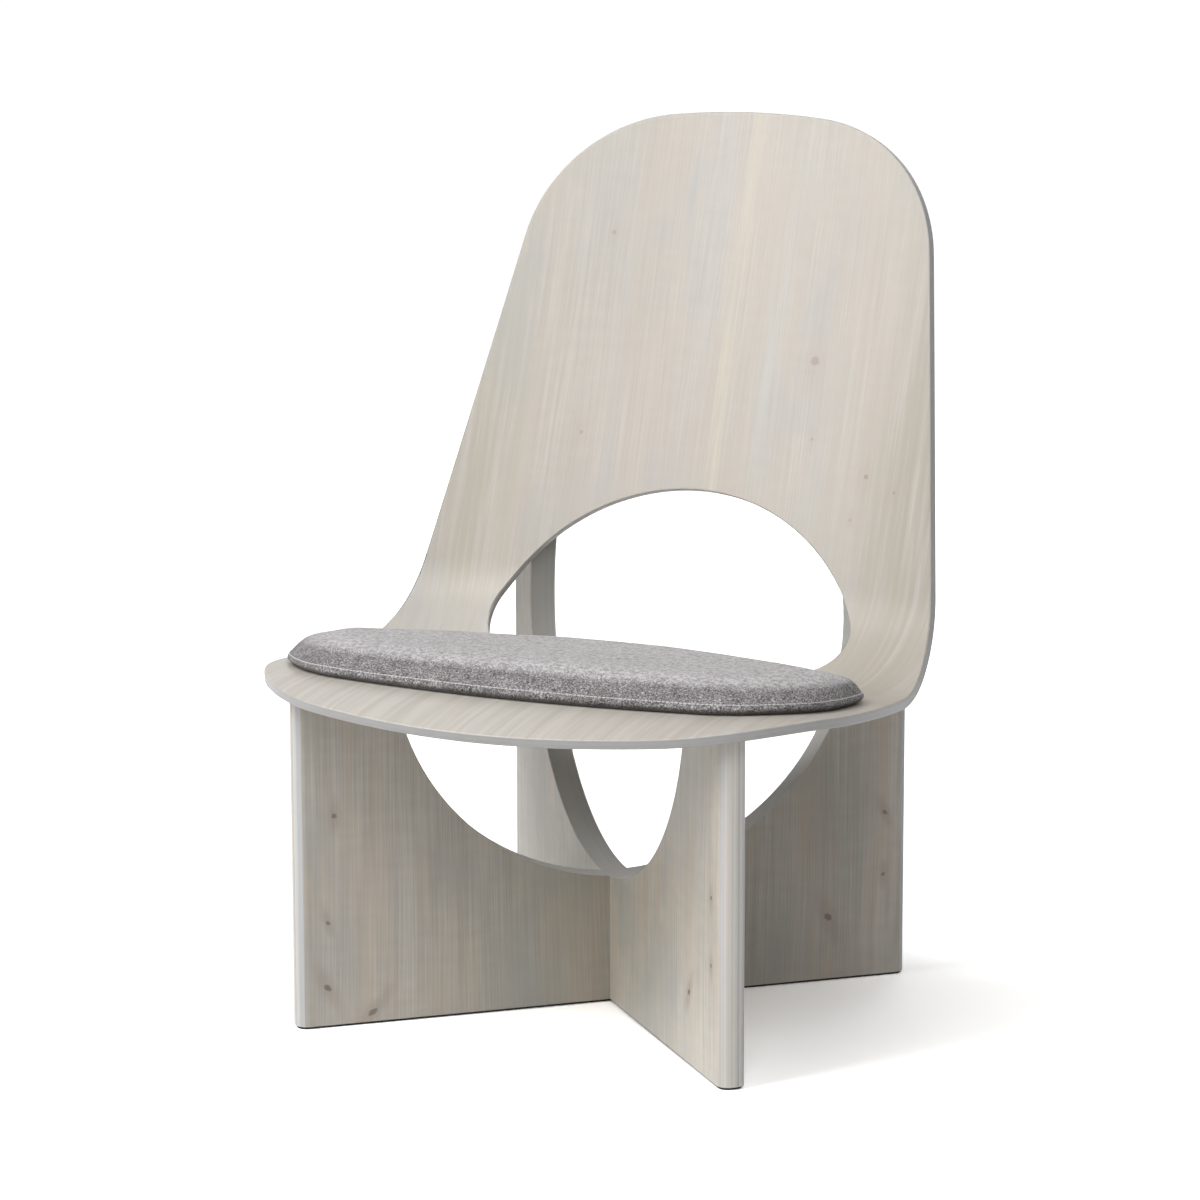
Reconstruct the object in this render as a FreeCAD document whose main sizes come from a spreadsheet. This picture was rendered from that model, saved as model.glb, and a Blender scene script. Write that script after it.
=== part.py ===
import FreeCAD, Part
import Sketcher
import math
import os
from FreeCAD import Placement, Rotation, Vector

# Lounge chair: a moulded plywood seat shell on two crossed plywood panels, with a loose felt pad.
# Frame: the origin is on the floor, below the line where the panels cross.
# +X is to the sitter's left as seen from the front (the viewer's right), +Y is backwards, +Z is up.

doc = FreeCAD.newDocument("LoungeChair")

# Driving dimensions, in millimetres and degrees
sheet = doc.addObject("Spreadsheet::Sheet", "Sizes")
drivingSizes = [
    # Crossed panels
    ("panelThickness", 27.0),
    ("panelFrontInset", 17.6),      # the panel's front end, inside the shell's edge
    ("rearLegTop", 547.5),          # above the floor
    ("rearTopWidth", 28.5),         # what is left behind the shell at the top of a rear leg
    ("archRadius", 240.4),
    ("archHeight", 369.2),          # centre of the arch above the floor
    ("archSetback", 4.6),           # centre of the arch behind the crossing
    ("panelEdgeFlat", 4.0),         # flat that is left between the two rounds of an end edge
    ("halvingHeight", 65.0),        # height at which the two halving slots meet
    ("halvingClearance", 0.1),      # each side of the slot
    ("glueLine", 0.2),              # between a panel's edge and the shell
    # Floor strips
    ("stripThickness", 2.5),
    ("stripInset", 2.0),
    ("stripGap", 0.1),              # between the long strip and the two short ones
    # Shell
    ("shellThickness", 10.0),
    ("seatAngle", 4.71),            # the seat falls backwards
    ("backAngle", 18.55),           # the back leans back from upright
    ("bendRadius", 113.3),          # on the sitter's side
    ("bendSetback", 110.3),         # middle of the bend, behind the crossing
    ("bendHeight", 348.2),          # middle of the bend, above the floor
    ("dishRadius", 1202.0),         # hollow of the back from side to side
    ("rollRadius", 443.0),          # the seat's front edge rolls down
    ("rollStart", 203.0),           # from the bend forward to the roll
    # Shell outline, laid out flat
    ("seatDepth", 352.9),           # from the bend forward to the front edge
    ("seatFrontRadius", 644.0),
    ("seatCornerRadius", 182.5),
    ("seatFlankRadius", 735.0),
    ("waistHalfWidth", 290.6),      # half the shell's width where the seat's and back's outlines meet
    ("flankAngle", 9.03),           # how fast the back narrows upwards, each side
    ("shoulderRadius", 166.5),
    ("backTopRadius", 683.5),
    ("backLength", 484.5),          # from the bend up to the top edge
    # Opening in the back
    ("openingRadius", 216.0),
    ("openingCentre", -129.1),      # along the back from the bend's upper end
    ("openingSill", -96.7),
    ("openingCornerRadius", 41.9),
    # Seat pad
    ("padFront", 272.0),            # from the bend forward to the pad's front edge
    ("padDepth", 277.0),
    ("padHalfWidth", 294.0),
    ("padShift", -5.0),             # it lies slightly to one side
    ("padFrontRadius", 1250.0),
    ("padFrontCorner", 118.0),
    ("padRearCorner", 46.0),
    ("padRearRadius", 560.0),
    ("padHeight", 29.5),            # at the middle of the crown
    ("padEdgeHeight", 26.0),        # where the bevelled side meets the crown
    ("padSeamHeight", 6.5),
    ("padTuck", 6.0),               # how far the underside is drawn in
    ("padFrontBevel", 27.0),        # how far the front side slopes in
    ("padRearBevel", 8.0),
    ("padSideBevel", 15.0),
    ("padCover", 2.5),              # felt thickness
    ("padClearance", 0.3),
    # Hidden dowels
    ("dowelRadius", 4.0),
    ("dowelInShell", 5.0),
    ("dowelInPanel", 20.0),
    ("dowelClearance", 0.1),
    ("dowelEndGap", 0.5),
]


def writeSizes(sizes, firstRow):
    for row, (alias, value) in enumerate(sizes, start=firstRow):
        sheet.set("A%d" % row, alias)
        sheet.set("B%d" % row, str(value))
        sheet.setAlias("B%d" % row, alias)
    doc.recompute()


def size(alias):
    return float(sheet.get(alias))


writeSizes(drivingSizes, 1)

# The two panels stand at right angles to each other, each at 45 degrees to the chair's centre plane.
panelTurns = {"a": 45.0, "b": 135.0}
panelTurn = {name: Rotation(Vector(0, 0, 1), turn) for name, turn in panelTurns.items()}


# Side profile of the shell, in the chair's centre plane
sideways = Vector(1, 0, 0)
slope = math.radians(size("seatAngle"))
recline = math.radians(size("backAngle"))
halfBend = (math.pi / 2 - recline + slope) / 2
seatBack = Vector(0, math.cos(slope), -math.sin(slope))      # along the seat, backwards
seatUp = Vector(0, math.sin(slope), math.cos(slope))         # out of the seat, to the sitter
backUp = Vector(0, math.sin(recline), math.cos(recline))     # along the back, upwards
backOut = Vector(0, -math.cos(recline), math.sin(recline))   # out of the back, to the sitter
bisector = (seatUp + backOut).normalize()
bendMiddle = Vector(0, size("bendSetback"), size("bendHeight"))
bendCentre = bendMiddle + bisector * size("bendRadius")
seatEnd = bendCentre - seatUp * size("bendRadius")           # the flat seat meets the bend
backEnd = bendCentre - backOut * size("bendRadius")          # the back meets the bend
acrossBend = Vector(0, bisector.z, -bisector.y)
# The cutting solids go on well past the chair, and the shell's curved surfaces a little past its edges.
reach = 2 * (size("backLength") + size("seatDepth"))
pastEdge = 1.4


def onSeat(point):
    """A flat-pattern point (x, distance behind seatEnd) on the seat's plane."""
    return seatEnd + sideways * point[0] + seatBack * point[1]


def onBack(point):
    """A flat-pattern point (x, distance above backEnd) on the back's middle plane."""
    return backEnd + sideways * point[0] + backUp * point[1]


def sitterSpace(depth):
    """The space on the sitter's side of the shell's upper surface sunk by depth: above the seat and
    in front of the back, with the bend as a rolled round between them."""
    rollCentre = seatEnd - seatBack * size("rollStart") - seatUp * size("rollRadius")
    rollRadius = size("rollRadius") - depth

    def onRoll(angle):
        forward = seatBack * (rollRadius * math.sin(angle))
        return rollCentre + seatUp * (rollRadius * math.cos(angle)) - forward

    rollAngle = pastEdge * (size("seatDepth") - size("rollStart")) / size("rollRadius")
    flatRear = seatEnd - seatUp * depth + seatBack * reach
    roofRear = flatRear + Vector(0, 0, 2 * reach)
    roofFront = Vector(0, onRoll(rollAngle).y, roofRear.z)
    seatProfile = Part.Wire([
        Part.Arc(onRoll(rollAngle), onRoll(rollAngle / 2), onRoll(0)).toShape(),
        Part.makeLine(onRoll(0), flatRear),
        Part.makeLine(flatRear, roofRear),
        Part.makeLine(roofRear, roofFront),
        Part.makeLine(roofFront, onRoll(rollAngle)),
    ])
    aboveSeat = Part.Face(seatProfile).extrude(sideways * reach)
    aboveSeat.translate(sideways * (-reach / 2))

    dishRadius = size("dishRadius") + depth
    halfWidth = pastEdge * size("waistHalfWidth")
    dish = dishRadius - math.sqrt(dishRadius ** 2 - halfWidth ** 2)
    dishFoot = backEnd - backOut * depth - backUp * (reach / 2)
    dishSide = [dishFoot + sideways * (side * halfWidth) + backOut * dish for side in (-1, 1)]
    openSide = [point + backOut * reach for point in dishSide]
    backProfile = Part.Wire([
        Part.Arc(dishSide[0], dishFoot, dishSide[1]).toShape(),
        Part.makeLine(dishSide[1], openSide[1]),
        Part.makeLine(openSide[1], openSide[0]),
        Part.makeLine(openSide[0], dishSide[0]),
    ])
    beforeBack = Part.Face(backProfile).extrude(backUp * (1.5 * reach))

    space = aboveSeat.common(beforeBack).Solids[0]
    cornerDistance = (size("bendRadius") + depth) * math.tan(halfBend)
    corner = Part.Vertex(seatEnd - seatUp * depth + seatBack * cornerDistance)
    junction = min(space.Edges, key=lambda edge: edge.distToShape(corner)[0])
    return space.makeFillet(size("bendRadius") + depth, [junction])


def facesShell(face):
    """True for the faces of the sitter's space that are the shell's upper surface."""
    if not isinstance(face.Surface, Part.Plane):
        return True
    return abs(face.normalAt(0, 0).dot(seatUp)) > 0.99999


def upperSheetNormal(point):
    """The upper surface's normal at a point on it."""
    vertex = Part.Vertex(point)
    face = min(upperSheet.Faces, key=lambda item: item.distToShape(vertex)[0])
    return face.normalAt(*face.Surface.parameter(point))


# Outline helpers. A flat-pattern point is a pair (x, distance along the sheet).
def unitFrom(start, end):
    length = math.dist(start, end)
    return ((end[0] - start[0]) / length, (end[1] - start[1]) / length)


def onCircle(centre, radius, direction):
    return (centre[0] + radius * direction[0], centre[1] + radius * direction[1])


def between(first, second):
    return unitFrom((0, 0), (first[0] + second[0], first[1] + second[1]))


def mirrored(point):
    return (-point[0], point[1])


def circlesMeet(firstCentre, firstRadius, secondCentre, secondRadius, side):
    """Where two circles cross; side is 1 or -1 for the left or right of the line of centres."""
    distance = math.dist(firstCentre, secondCentre)
    along = (distance ** 2 + firstRadius ** 2 - secondRadius ** 2) / (2 * distance)
    off = side * math.sqrt(firstRadius ** 2 - along ** 2)
    direction = unitFrom(firstCentre, secondCentre)
    return (firstCentre[0] + direction[0] * along - direction[1] * off,
            firstCentre[1] + direction[1] * along + direction[0] * off)


def arcWire(place, arcs):
    """A closed wire, mirror-symmetric in x, from the pieces of its right half in order: each is
    (start, middle, end) for an arc or (start, end) for a line. place puts a point in space."""
    edges = []
    for piece in arcs + [tuple(mirrored(point) for point in reversed(arc)) for arc in reversed(arcs)]:
        points = [place(point) for point in piece]
        if len(points) == 3:
            edges.append(Part.Arc(*points).toShape())
        else:
            edges.append(Part.makeLine(*points))
    return Part.Wire(edges)


# Shell outline: the seat's front arc, corners and flanks, then the back's flanks, shoulders and top
upperSheet = Part.Shell([face for face in sitterSpace(0).Faces if facesShell(face)])
waistLine = Part.makeLine(bendCentre, bendCentre - bisector * (2 * size("bendRadius")))
waistLine.translate(sideways * size("waistHalfWidth"))
waistPoint = waistLine.distToShape(upperSheet)[1][0][0]
waistDistance = (waistPoint - seatEnd).dot(seatBack)
waist = (size("waistHalfWidth"), waistDistance)
# The outline's direction goes on smoothly round the bend, which is steeper to the seat than to the
# back there.
flank = math.radians(size("flankAngle"))
bendNormal = upperSheetNormal(waistPoint)
steepness = abs(bendNormal.dot(backOut)) / abs(bendNormal.dot(seatUp))
seatFlank = math.atan(math.tan(flank) * steepness)
backFlankOut = (math.cos(flank), math.sin(flank))
seatFlankOut = (math.cos(seatFlank), math.sin(seatFlank))


def seatOutline():
    flankCentre = onCircle(waist, -size("seatFlankRadius"), seatFlankOut)
    frontCentre = (0, size("seatFrontRadius") - size("seatDepth"))
    cornerRadius = size("seatCornerRadius")
    cornerCentre = circlesMeet(frontCentre, size("seatFrontRadius") - cornerRadius,
                               flankCentre, size("seatFlankRadius") - cornerRadius, 1)
    frontDirection = unitFrom(frontCentre, cornerCentre)
    sideDirection = unitFrom(flankCentre, cornerCentre)
    frontEnd = onCircle(cornerCentre, cornerRadius, frontDirection)
    cornerMiddle = onCircle(cornerCentre, cornerRadius, between(frontDirection, sideDirection))
    cornerEnd = onCircle(cornerCentre, cornerRadius, sideDirection)
    flankMiddle = onCircle(flankCentre, size("seatFlankRadius"), between(sideDirection, seatFlankOut))
    front = (0, -size("seatDepth"))
    frontMiddle = onCircle(frontCentre, size("seatFrontRadius"), between((0, -1), frontDirection))
    past = (waist[0] - size("bendRadius") * math.tan(seatFlank), waist[1] + size("bendRadius"))
    return arcWire(onSeat, [(front, frontMiddle, frontEnd), (frontEnd, cornerMiddle, cornerEnd),
                            (cornerEnd, flankMiddle, waist), (waist, past), (past, (0, past[1]))])


def backOutline():
    topRadius = size("backTopRadius")
    topCentre = (0, size("backLength") - topRadius)
    shoulderRadius = size("shoulderRadius")
    # The shoulder's centre is shoulderRadius inside the flank line and inside the top arc
    inside = onCircle((waist[0], -waist[1]), -shoulderRadius, backFlankOut)
    along = (-backFlankOut[1], backFlankOut[0])
    offset = (inside[0] - topCentre[0], inside[1] - topCentre[1])
    shift = offset[0] * along[0] + offset[1] * along[1]
    rest = offset[0] ** 2 + offset[1] ** 2 - (topRadius - shoulderRadius) ** 2
    shoulderCentre = onCircle(inside, math.sqrt(shift ** 2 - rest) - shift, along)
    topDirection = unitFrom(topCentre, shoulderCentre)
    shoulderStart = onCircle(shoulderCentre, shoulderRadius, backFlankOut)
    shoulderMiddle = onCircle(shoulderCentre, shoulderRadius, between(backFlankOut, topDirection))
    shoulderEnd = onCircle(shoulderCentre, shoulderRadius, topDirection)
    top = (0, size("backLength"))
    topMiddle = onCircle(topCentre, topRadius, between(topDirection, (0, 1)))
    drop = size("bendRadius")
    foot = (waist[0] + drop * math.tan(flank), -waist[1] - drop)
    return arcWire(onBack, [((0, foot[1]), foot), (foot, shoulderStart),
                            (shoulderStart, shoulderMiddle, shoulderEnd), (shoulderEnd, topMiddle, top)])


def openingOutline():
    centre = (0, size("openingCentre"))
    sill = size("openingSill")
    cornerRadius = size("openingCornerRadius")
    rise = sill + cornerRadius - centre[1]
    cornerX = math.sqrt((size("openingRadius") - cornerRadius) ** 2 - rise ** 2)
    cornerCentre = (cornerX, sill + cornerRadius)
    outDirection = unitFrom(centre, cornerCentre)
    cornerStart = (cornerX, sill)
    cornerMiddle = onCircle(cornerCentre, cornerRadius, between((0, -1), outDirection))
    cornerEnd = onCircle(cornerCentre, cornerRadius, outDirection)
    top = (0, centre[1] + size("openingRadius"))
    topMiddle = onCircle(centre, size("openingRadius"), between(outDirection, (0, 1)))
    return arcWire(onBack, [((0, sill), cornerStart), (cornerStart, cornerMiddle, cornerEnd),
                            (cornerEnd, topMiddle, top)])


def prism(outline, direction, behind, ahead):
    """The outline's area swept both ways along direction."""
    solid = Part.Face(outline).extrude(direction * (behind + ahead))
    solid.translate(direction * -behind)
    return solid


def shellShape():
    """The sheet is trimmed as a surface, then thickened away from the sitter, so that its edges and
    the opening's wall stay square to it all round the bend."""
    corners = [bendMiddle + sideways * (x * reach) + bisector * (z * reach)
               for x, z in ((-1, -1), (1, -1), (1, 1), (-1, 1), (-1, -1))]
    aboveBend = Part.Face(Part.makePolygon(corners)).extrude(acrossBend * reach)
    seatArea = prism(seatOutline(), seatUp, reach / 2, reach / 2).cut(aboveBend)
    backArea = prism(backOutline(), backOut, reach / 2, reach / 2).common(aboveBend)
    deep = size("bendRadius") + size("shellThickness")
    opening = prism(openingOutline(), backOut, deep, deep)
    trimmed = upperSheet.common(seatArea.fuse(backArea).cut(opening))
    sheetSurface = Part.Shell(trimmed.Faces).removeSplitter()
    return sheetSurface.makeOffsetShape(size("shellThickness"), 1e-4, fill=True)


# Crossed panels and floor strips. Each lies in its own X-Z plane, with its front end at negative X,
# and is then turned about the crossing.
def originPlane(body, role):
    return next(feature for feature in body.Origin.OriginFeatures if feature.Role == role)


def newSketch(body, name):
    sketch = body.newObject("Sketcher::SketchObject", name)
    sketch.AttachmentSupport = [(originPlane(body, "XZ_Plane"), "")]
    sketch.MapMode = "FlatFace"
    return sketch


def rectangleSketch(body, name, left, right, bottom, top):
    """A rectangle whose four sides are expressions of the sheet's sizes."""
    sketch = newSketch(body, name)
    span = size("panelThickness")
    corners = [Vector(side * span, level * span, 0) for side, level in ((-1, 1), (1, 1), (1, 2), (-1, 2))]
    for index in range(4):
        sketch.addGeometry(Part.LineSegment(corners[index], corners[(index + 1) % 4]))
    for index in range(4):
        sketch.addConstraint(Sketcher.Constraint("Coincident", index, 2, (index + 1) % 4, 1))
        sketch.addConstraint(Sketcher.Constraint(("Horizontal", "Vertical")[index % 2], index))
    sides = [("left", "DistanceX", 0, 1, left), ("right", "DistanceX", 0, 2, right),
             ("bottom", "DistanceY", 0, 1, bottom), ("top", "DistanceY", 2, 1, top)]
    for side, kind, line, end, expression in sides:
        where = sketch.addConstraint(Sketcher.Constraint(kind, -1, 1, line, end, 1.0))
        sketch.renameConstraint(where, side)
        sketch.setExpression("Constraints." + side, expression)
    return sketch


def circleSketch(body, name, acrossX, upZ, radius):
    sketch = newSketch(body, name)
    span = size("panelThickness")
    sketch.addGeometry(Part.Circle(Vector(span, span, 0), Vector(0, 0, 1), span))
    values = [("acrossX", Sketcher.Constraint("DistanceX", -1, 1, 0, 3, 1.0), acrossX),
              ("upZ", Sketcher.Constraint("DistanceY", -1, 1, 0, 3, 1.0), upZ),
              ("radius", Sketcher.Constraint("Radius", 0, span), radius)]
    for label, constraint, expression in values:
        where = sketch.addConstraint(constraint)
        sketch.renameConstraint(where, label)
        sketch.setExpression("Constraints." + label, expression)
    return sketch


def board(name, left, right, bottom, top, thickness, roundedEnds):
    """An upright board with the outer vertical edges of the named ends rounded."""
    body = doc.addObject("PartDesign::Body", name)
    pad = body.newObject("PartDesign::Pad", name + "Pad")
    pad.Profile = rectangleSketch(body, name + "Outline", left, right, bottom, top)
    pad.Midplane = True
    pad.setExpression("Length", thickness)
    body.Tip = pad
    doc.recompute()
    box = pad.Shape.BoundBox
    ends = [{"front": box.XMin, "rear": box.XMax}[end] for end in roundedEnds]
    upright = ["Edge%d" % number for number, edge in enumerate(pad.Shape.Edges, start=1)
               if edge.BoundBox.XLength < 1e-6 and edge.BoundBox.YLength < 1e-6
               and min(abs(edge.BoundBox.XMin - x) for x in ends) < 1e-6]
    fillet = body.newObject("PartDesign::Fillet", name + "Round")
    fillet.Base = (pad, upright)
    fillet.setExpression("Radius", "(%s - Sizes.panelEdgeFlat) / 2" % thickness)
    body.Tip = fillet
    return body


def pocketThrough(body, sketch, name):
    before = body.Shape.Volume
    pocket = body.newObject("PartDesign::Pocket", name)
    pocket.Profile = sketch
    pocket.Type = "ThroughAll"
    pocket.Midplane = True
    body.Tip = pocket
    doc.recompute()
    print(name, "takes away", round(before - body.Shape.Volume), "cubic mm")


def panelBlank(name, slotBottom, slotTop):
    body = board(name, "-Sizes.frontReach", "Sizes.rearReach", "Sizes.stripThickness", "Sizes.rearLegTop",
                 "Sizes.panelThickness", ("front", "rear"))
    doc.recompute()
    pocketThrough(body, circleSketch(body, name + "Arch", "Sizes.archSetback", "Sizes.archHeight",
                                     "Sizes.archRadius"), name + "ArchCut")
    halfSlot = "Sizes.panelThickness / 2 + Sizes.halvingClearance"
    pocketThrough(body, rectangleSketch(body, name + "Slot", "-(%s)" % halfSlot, halfSlot,
                                        slotBottom, slotTop), name + "SlotCut")
    return body


def feature(name, shape):
    """An object that holds a shape worked out above."""
    item = doc.addObject("Part::Feature", name)
    item.Shape = shape
    return item


def cut(name, base, tool):
    item = doc.addObject("Part::Cut", name)
    item.Base = base
    item.Tool = tool
    return item


# The moulded sheet itself: two curved surfaces with a rolled bend between them, so its shape is
# worked out above rather than swept from a sketch.
shellSheet = feature("ShellSheet", shellShape())


# Where the shell's edge and back are over the panels' middle planes, both panels being alike
panelLine = panelTurn["a"].multVec(sideways)
sections = shellSheet.Shape.slice(panelTurn["a"].multVec(Vector(0, 1, 0)), 0)
sections.sort(key=lambda wire: wire.BoundBox.ZMax)
seatSection, backSection = sections[0], sections[-1]
shellFront = -min(vertex.Point.dot(panelLine) for vertex in seatSection.Vertexes)


def meetsShell(start, inward):
    """Where a line from start first meets the shell's outer face."""
    inside = Part.makeLine(start, start + inward * reach).common(shellSheet.Shape)
    return min((vertex.Point for vertex in inside.Vertexes), key=start.distanceToPoint)


behindTop = meetsShell(panelLine * reach + Vector(0, 0, size("rearLegTop")), -panelLine)
writeSizes([
    ("frontReach", shellFront - size("panelFrontInset")),      # from the crossing, along the panel
    ("rearReach", behindTop.dot(panelLine) + size("rearTopWidth")),
], len(drivingSizes) + 1)


# Hidden dowels: two between the seat and each panel's front top, at the thirds of what the arch
# leaves there, and two between the back and each rear leg, at the thirds above the opening
def dowelPlaces():
    """(panel, group, point on the shell's outer face, direction into the shell) of each dowel."""
    frontTop = meetsShell(panelLine * -size("frontReach"), Vector(0, 0, 1)).z
    drop = size("archHeight") - frontTop
    archFront = size("archSetback") - math.sqrt(size("archRadius") ** 2 - drop ** 2)
    rearFoot = backSection.BoundBox.ZMin
    places = []
    for panel, turn in panelTurn.items():
        for share in (1 / 3, 2 / 3):
            along = -size("frontReach") * (1 - share) + archFront * share
            upwards = Vector(0, 0, 1)
            places.append((panel, "seat", meetsShell(turn.multVec(Vector(along, 0, 0)), upwards), upwards))
            height = rearFoot * (1 - share) + size("rearLegTop") * share
            forwards = turn.multVec(Vector(-1, 0, 0))
            start = turn.multVec(Vector(size("rearReach"), 0, height))
            places.append((panel, "back", meetsShell(start, forwards), forwards))
    return places


def dowelCylinder(name, point, inward, clearance, endGap):
    cylinder = doc.addObject("Part::Cylinder", name)
    cylinder.setExpression("Radius", "Sizes.dowelRadius + %s" % clearance)
    cylinder.setExpression("Height", "Sizes.dowelInShell + Sizes.dowelInPanel + 2 * %s" % endGap)
    gap = size("dowelEndGap") if endGap != "0" else 0.0
    foot = point - inward * (size("dowelInPanel") + gap)
    cylinder.Placement = Placement(foot, Rotation(Vector(0, 0, 1), inward))
    return cylinder


dowels = {"seat": [], "back": []}
dowelHoles = {"a": [], "b": []}
for number, (panel, group, point, inward) in enumerate(dowelPlaces(), start=1):
    dowels[group].append(dowelCylinder("Dowel%d" % number, point, inward, "0", "0"))
    dowelHoles[panel].append(dowelCylinder("DowelHole%d" % number, point, inward,
                                           "Sizes.dowelClearance", "Sizes.dowelEndGap"))


def together(name, items):
    compound = doc.addObject("Part::Compound", name)
    compound.Links = items
    return compound


holesOf = {panel: together("DowelHoles" + panel.upper(), holes) for panel, holes in dowelHoles.items()}
subParts = {}
subParts["seat_back_shell"] = cut("SeatBackShell", shellSheet,
                                  together("AllDowelHoles", dowelHoles["a"] + dowelHoles["b"]))
subParts["seat_dowels"] = together("SeatDowels", dowels["seat"])
subParts["back_dowels"] = together("BackDowels", dowels["back"])

# The panels stop short of the shell's outer face by the glue line.
overShell = feature("OverShell", sitterSpace(size("shellThickness") + size("glueLine")))
slots = {"a": ("Sizes.halvingHeight", "Sizes.archHeight"), "b": ("0", "Sizes.halvingHeight")}
for panel, (slotBottom, slotTop) in slots.items():
    blank = panelBlank("Panel" + panel.upper(), slotBottom, slotTop)
    blank.Placement = Placement(Vector(0, 0, 0), panelTurn[panel])
    trimmed = cut("TrimmedPanel" + panel.upper(), blank, overShell)
    subParts["cross_panel_" + panel] = cut("CrossPanel" + panel.upper(), trimmed, holesOf[panel])

# Floor strips: one long strip under the first panel, two short ones under the second
stripWidth = "(Sizes.panelThickness - 2 * Sizes.stripInset)"
stripFront = "-Sizes.frontReach + Sizes.stripInset"
stripRear = "Sizes.rearReach - Sizes.stripInset"
stripMeet = "%s / 2 + Sizes.stripGap" % stripWidth
stripRuns = {
    "floor_strip_long": ("a", stripFront, stripRear, ("front", "rear")),
    "floor_strip_front": ("b", stripFront, "-(%s)" % stripMeet, ("front",)),
    "floor_strip_rear": ("b", stripMeet, stripRear, ("rear",)),
}
for node, (panel, left, right, ends) in stripRuns.items():
    name = "".join(word.capitalize() for word in node.split("_"))
    strip = board(name, left, right, "0", "Sizes.stripThickness", stripWidth, ends)
    strip.Placement = Placement(Vector(0, 0, 0), panelTurn[panel])
    subParts[node] = strip


# Seat pad: a felt cover in two pieces, sewn together at the seam, over a foam core
def padOutline(height, insets):
    """The pad's outline drawn in by the (front, rear, side) insets, square to the seat at height."""
    frontInset, rearInset, sideInset = insets
    front = frontInset - size("padFront")
    depth = size("padDepth") - frontInset - rearInset
    halfWidth = size("padHalfWidth") - sideInset
    scale = depth / size("padDepth")

    def place(point):
        return onSeat((size("padShift") + point[0], point[1])) + seatUp * height

    halves = []
    for edge, end, radius, cornerRadius in (
            (front, -1, size("padFrontRadius") * scale, size("padFrontCorner") * scale),
            (front + depth, 1, size("padRearRadius") * scale, size("padRearCorner") * scale)):
        centre = (0, edge - end * radius)
        cornerX = halfWidth - cornerRadius
        cornerY = centre[1] + end * math.sqrt((radius - cornerRadius) ** 2 - cornerX ** 2)
        direction = unitFrom(centre, (cornerX, cornerY))
        arcMiddle = onCircle(centre, radius, between((0, end), direction))
        cornerStart = onCircle(centre, radius, direction)
        cornerMiddle = onCircle((cornerX, cornerY), cornerRadius, between(direction, (1, 0)))
        cornerEnd = (halfWidth, cornerY)
        halves.append([((0, edge), arcMiddle, cornerStart), (cornerStart, cornerMiddle, cornerEnd)])
    frontHalf, rearHalf = halves
    side = (frontHalf[-1][-1], rearHalf[-1][-1])
    return arcWire(place, frontHalf + [side] + [tuple(reversed(arc)) for arc in reversed(rearHalf)])


def padSolid(shrink):
    """What lies inside the pad's surface moved in by shrink: the part above the seam and the part
    below it."""
    seam = size("padSeamHeight")
    crease = size("padEdgeHeight") - shrink
    crown = size("padHeight") - size("padEdgeHeight")
    bevels = (size("padFrontBevel"), size("padRearBevel"), size("padSideBevel"))
    # The side leans in from the seam to the crease, a little fuller halfway up.
    fullness = 0.3
    side = []
    for share, height in ((0, seam), (fullness, (seam + crease) / 2), (1, crease)):
        side.append(padOutline(height, [shrink + share * bevel for bevel in bevels]))
    # The crown rises from the crease to the middle as a parabola.
    middles = (size("padDepth") / 2, size("padDepth") / 2, size("padHalfWidth"))
    crownLevels = []
    for share in (0, 0.25, 0.5, 0.75):
        insets = [shrink + bevel + share * (middle - bevel - shrink)
                  for bevel, middle in zip(bevels, middles)]
        crownLevels.append(padOutline(crease + crown * (1 - (1 - share) ** 2), insets))
    upper = Part.makeLoft(side, True, False).fuse(Part.makeLoft(crownLevels, True, False))
    # Below the seam the side is drawn in, and the underside follows the seat with its rolled front.
    drop = 2 * (seam + size("padTuck"))
    tuck = [shrink + size("padTuck") * drop / seam] * 3
    lower = Part.makeLoft([padOutline(seam - drop, tuck), side[0]], True, True)
    lower = lower.common(sitterSpace(-size("padClearance") - shrink))
    return upper.Solids[0], lower.Solids[0]


coverTop, coverBase = padSolid(0)
coreTop, coreBase = padSolid(size("padCover"))
subParts["pad_cover_top"] = feature("PadCoverTop", coverTop.cut(coreTop))
subParts["pad_cover_base"] = feature("PadCoverBase", coverBase.cut(coreBase))
subParts["pad_foam_core"] = feature("PadFoamCore", coreTop.fuse(coreBase).removeSplitter())

# Build everything, check it and write it out
for node, item in subParts.items():
    item.Label = node
doc.recompute()
for item in doc.Objects:
    if "Invalid" in item.State or "Error" in item.State:
        raise RuntimeError("%s did not build: %s" % (item.Label, item.State))
os.makedirs("parts", exist_ok=True)
for node, item in subParts.items():
    shape = item.Shape
    if shape.isNull() or not shape.isValid() or not shape.Solids:
        raise RuntimeError("%s has no sound solid" % node)
    shape.exportStep("parts/%s.step" % node)
    print("%-18s %d solid(s), %9.0f cubic mm" % (node, len(shape.Solids), shape.Volume))
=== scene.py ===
import bisect
import math

import bpy
from mathutils import Matrix, Vector, noise
from mathutils.kdtree import KDTree


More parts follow.
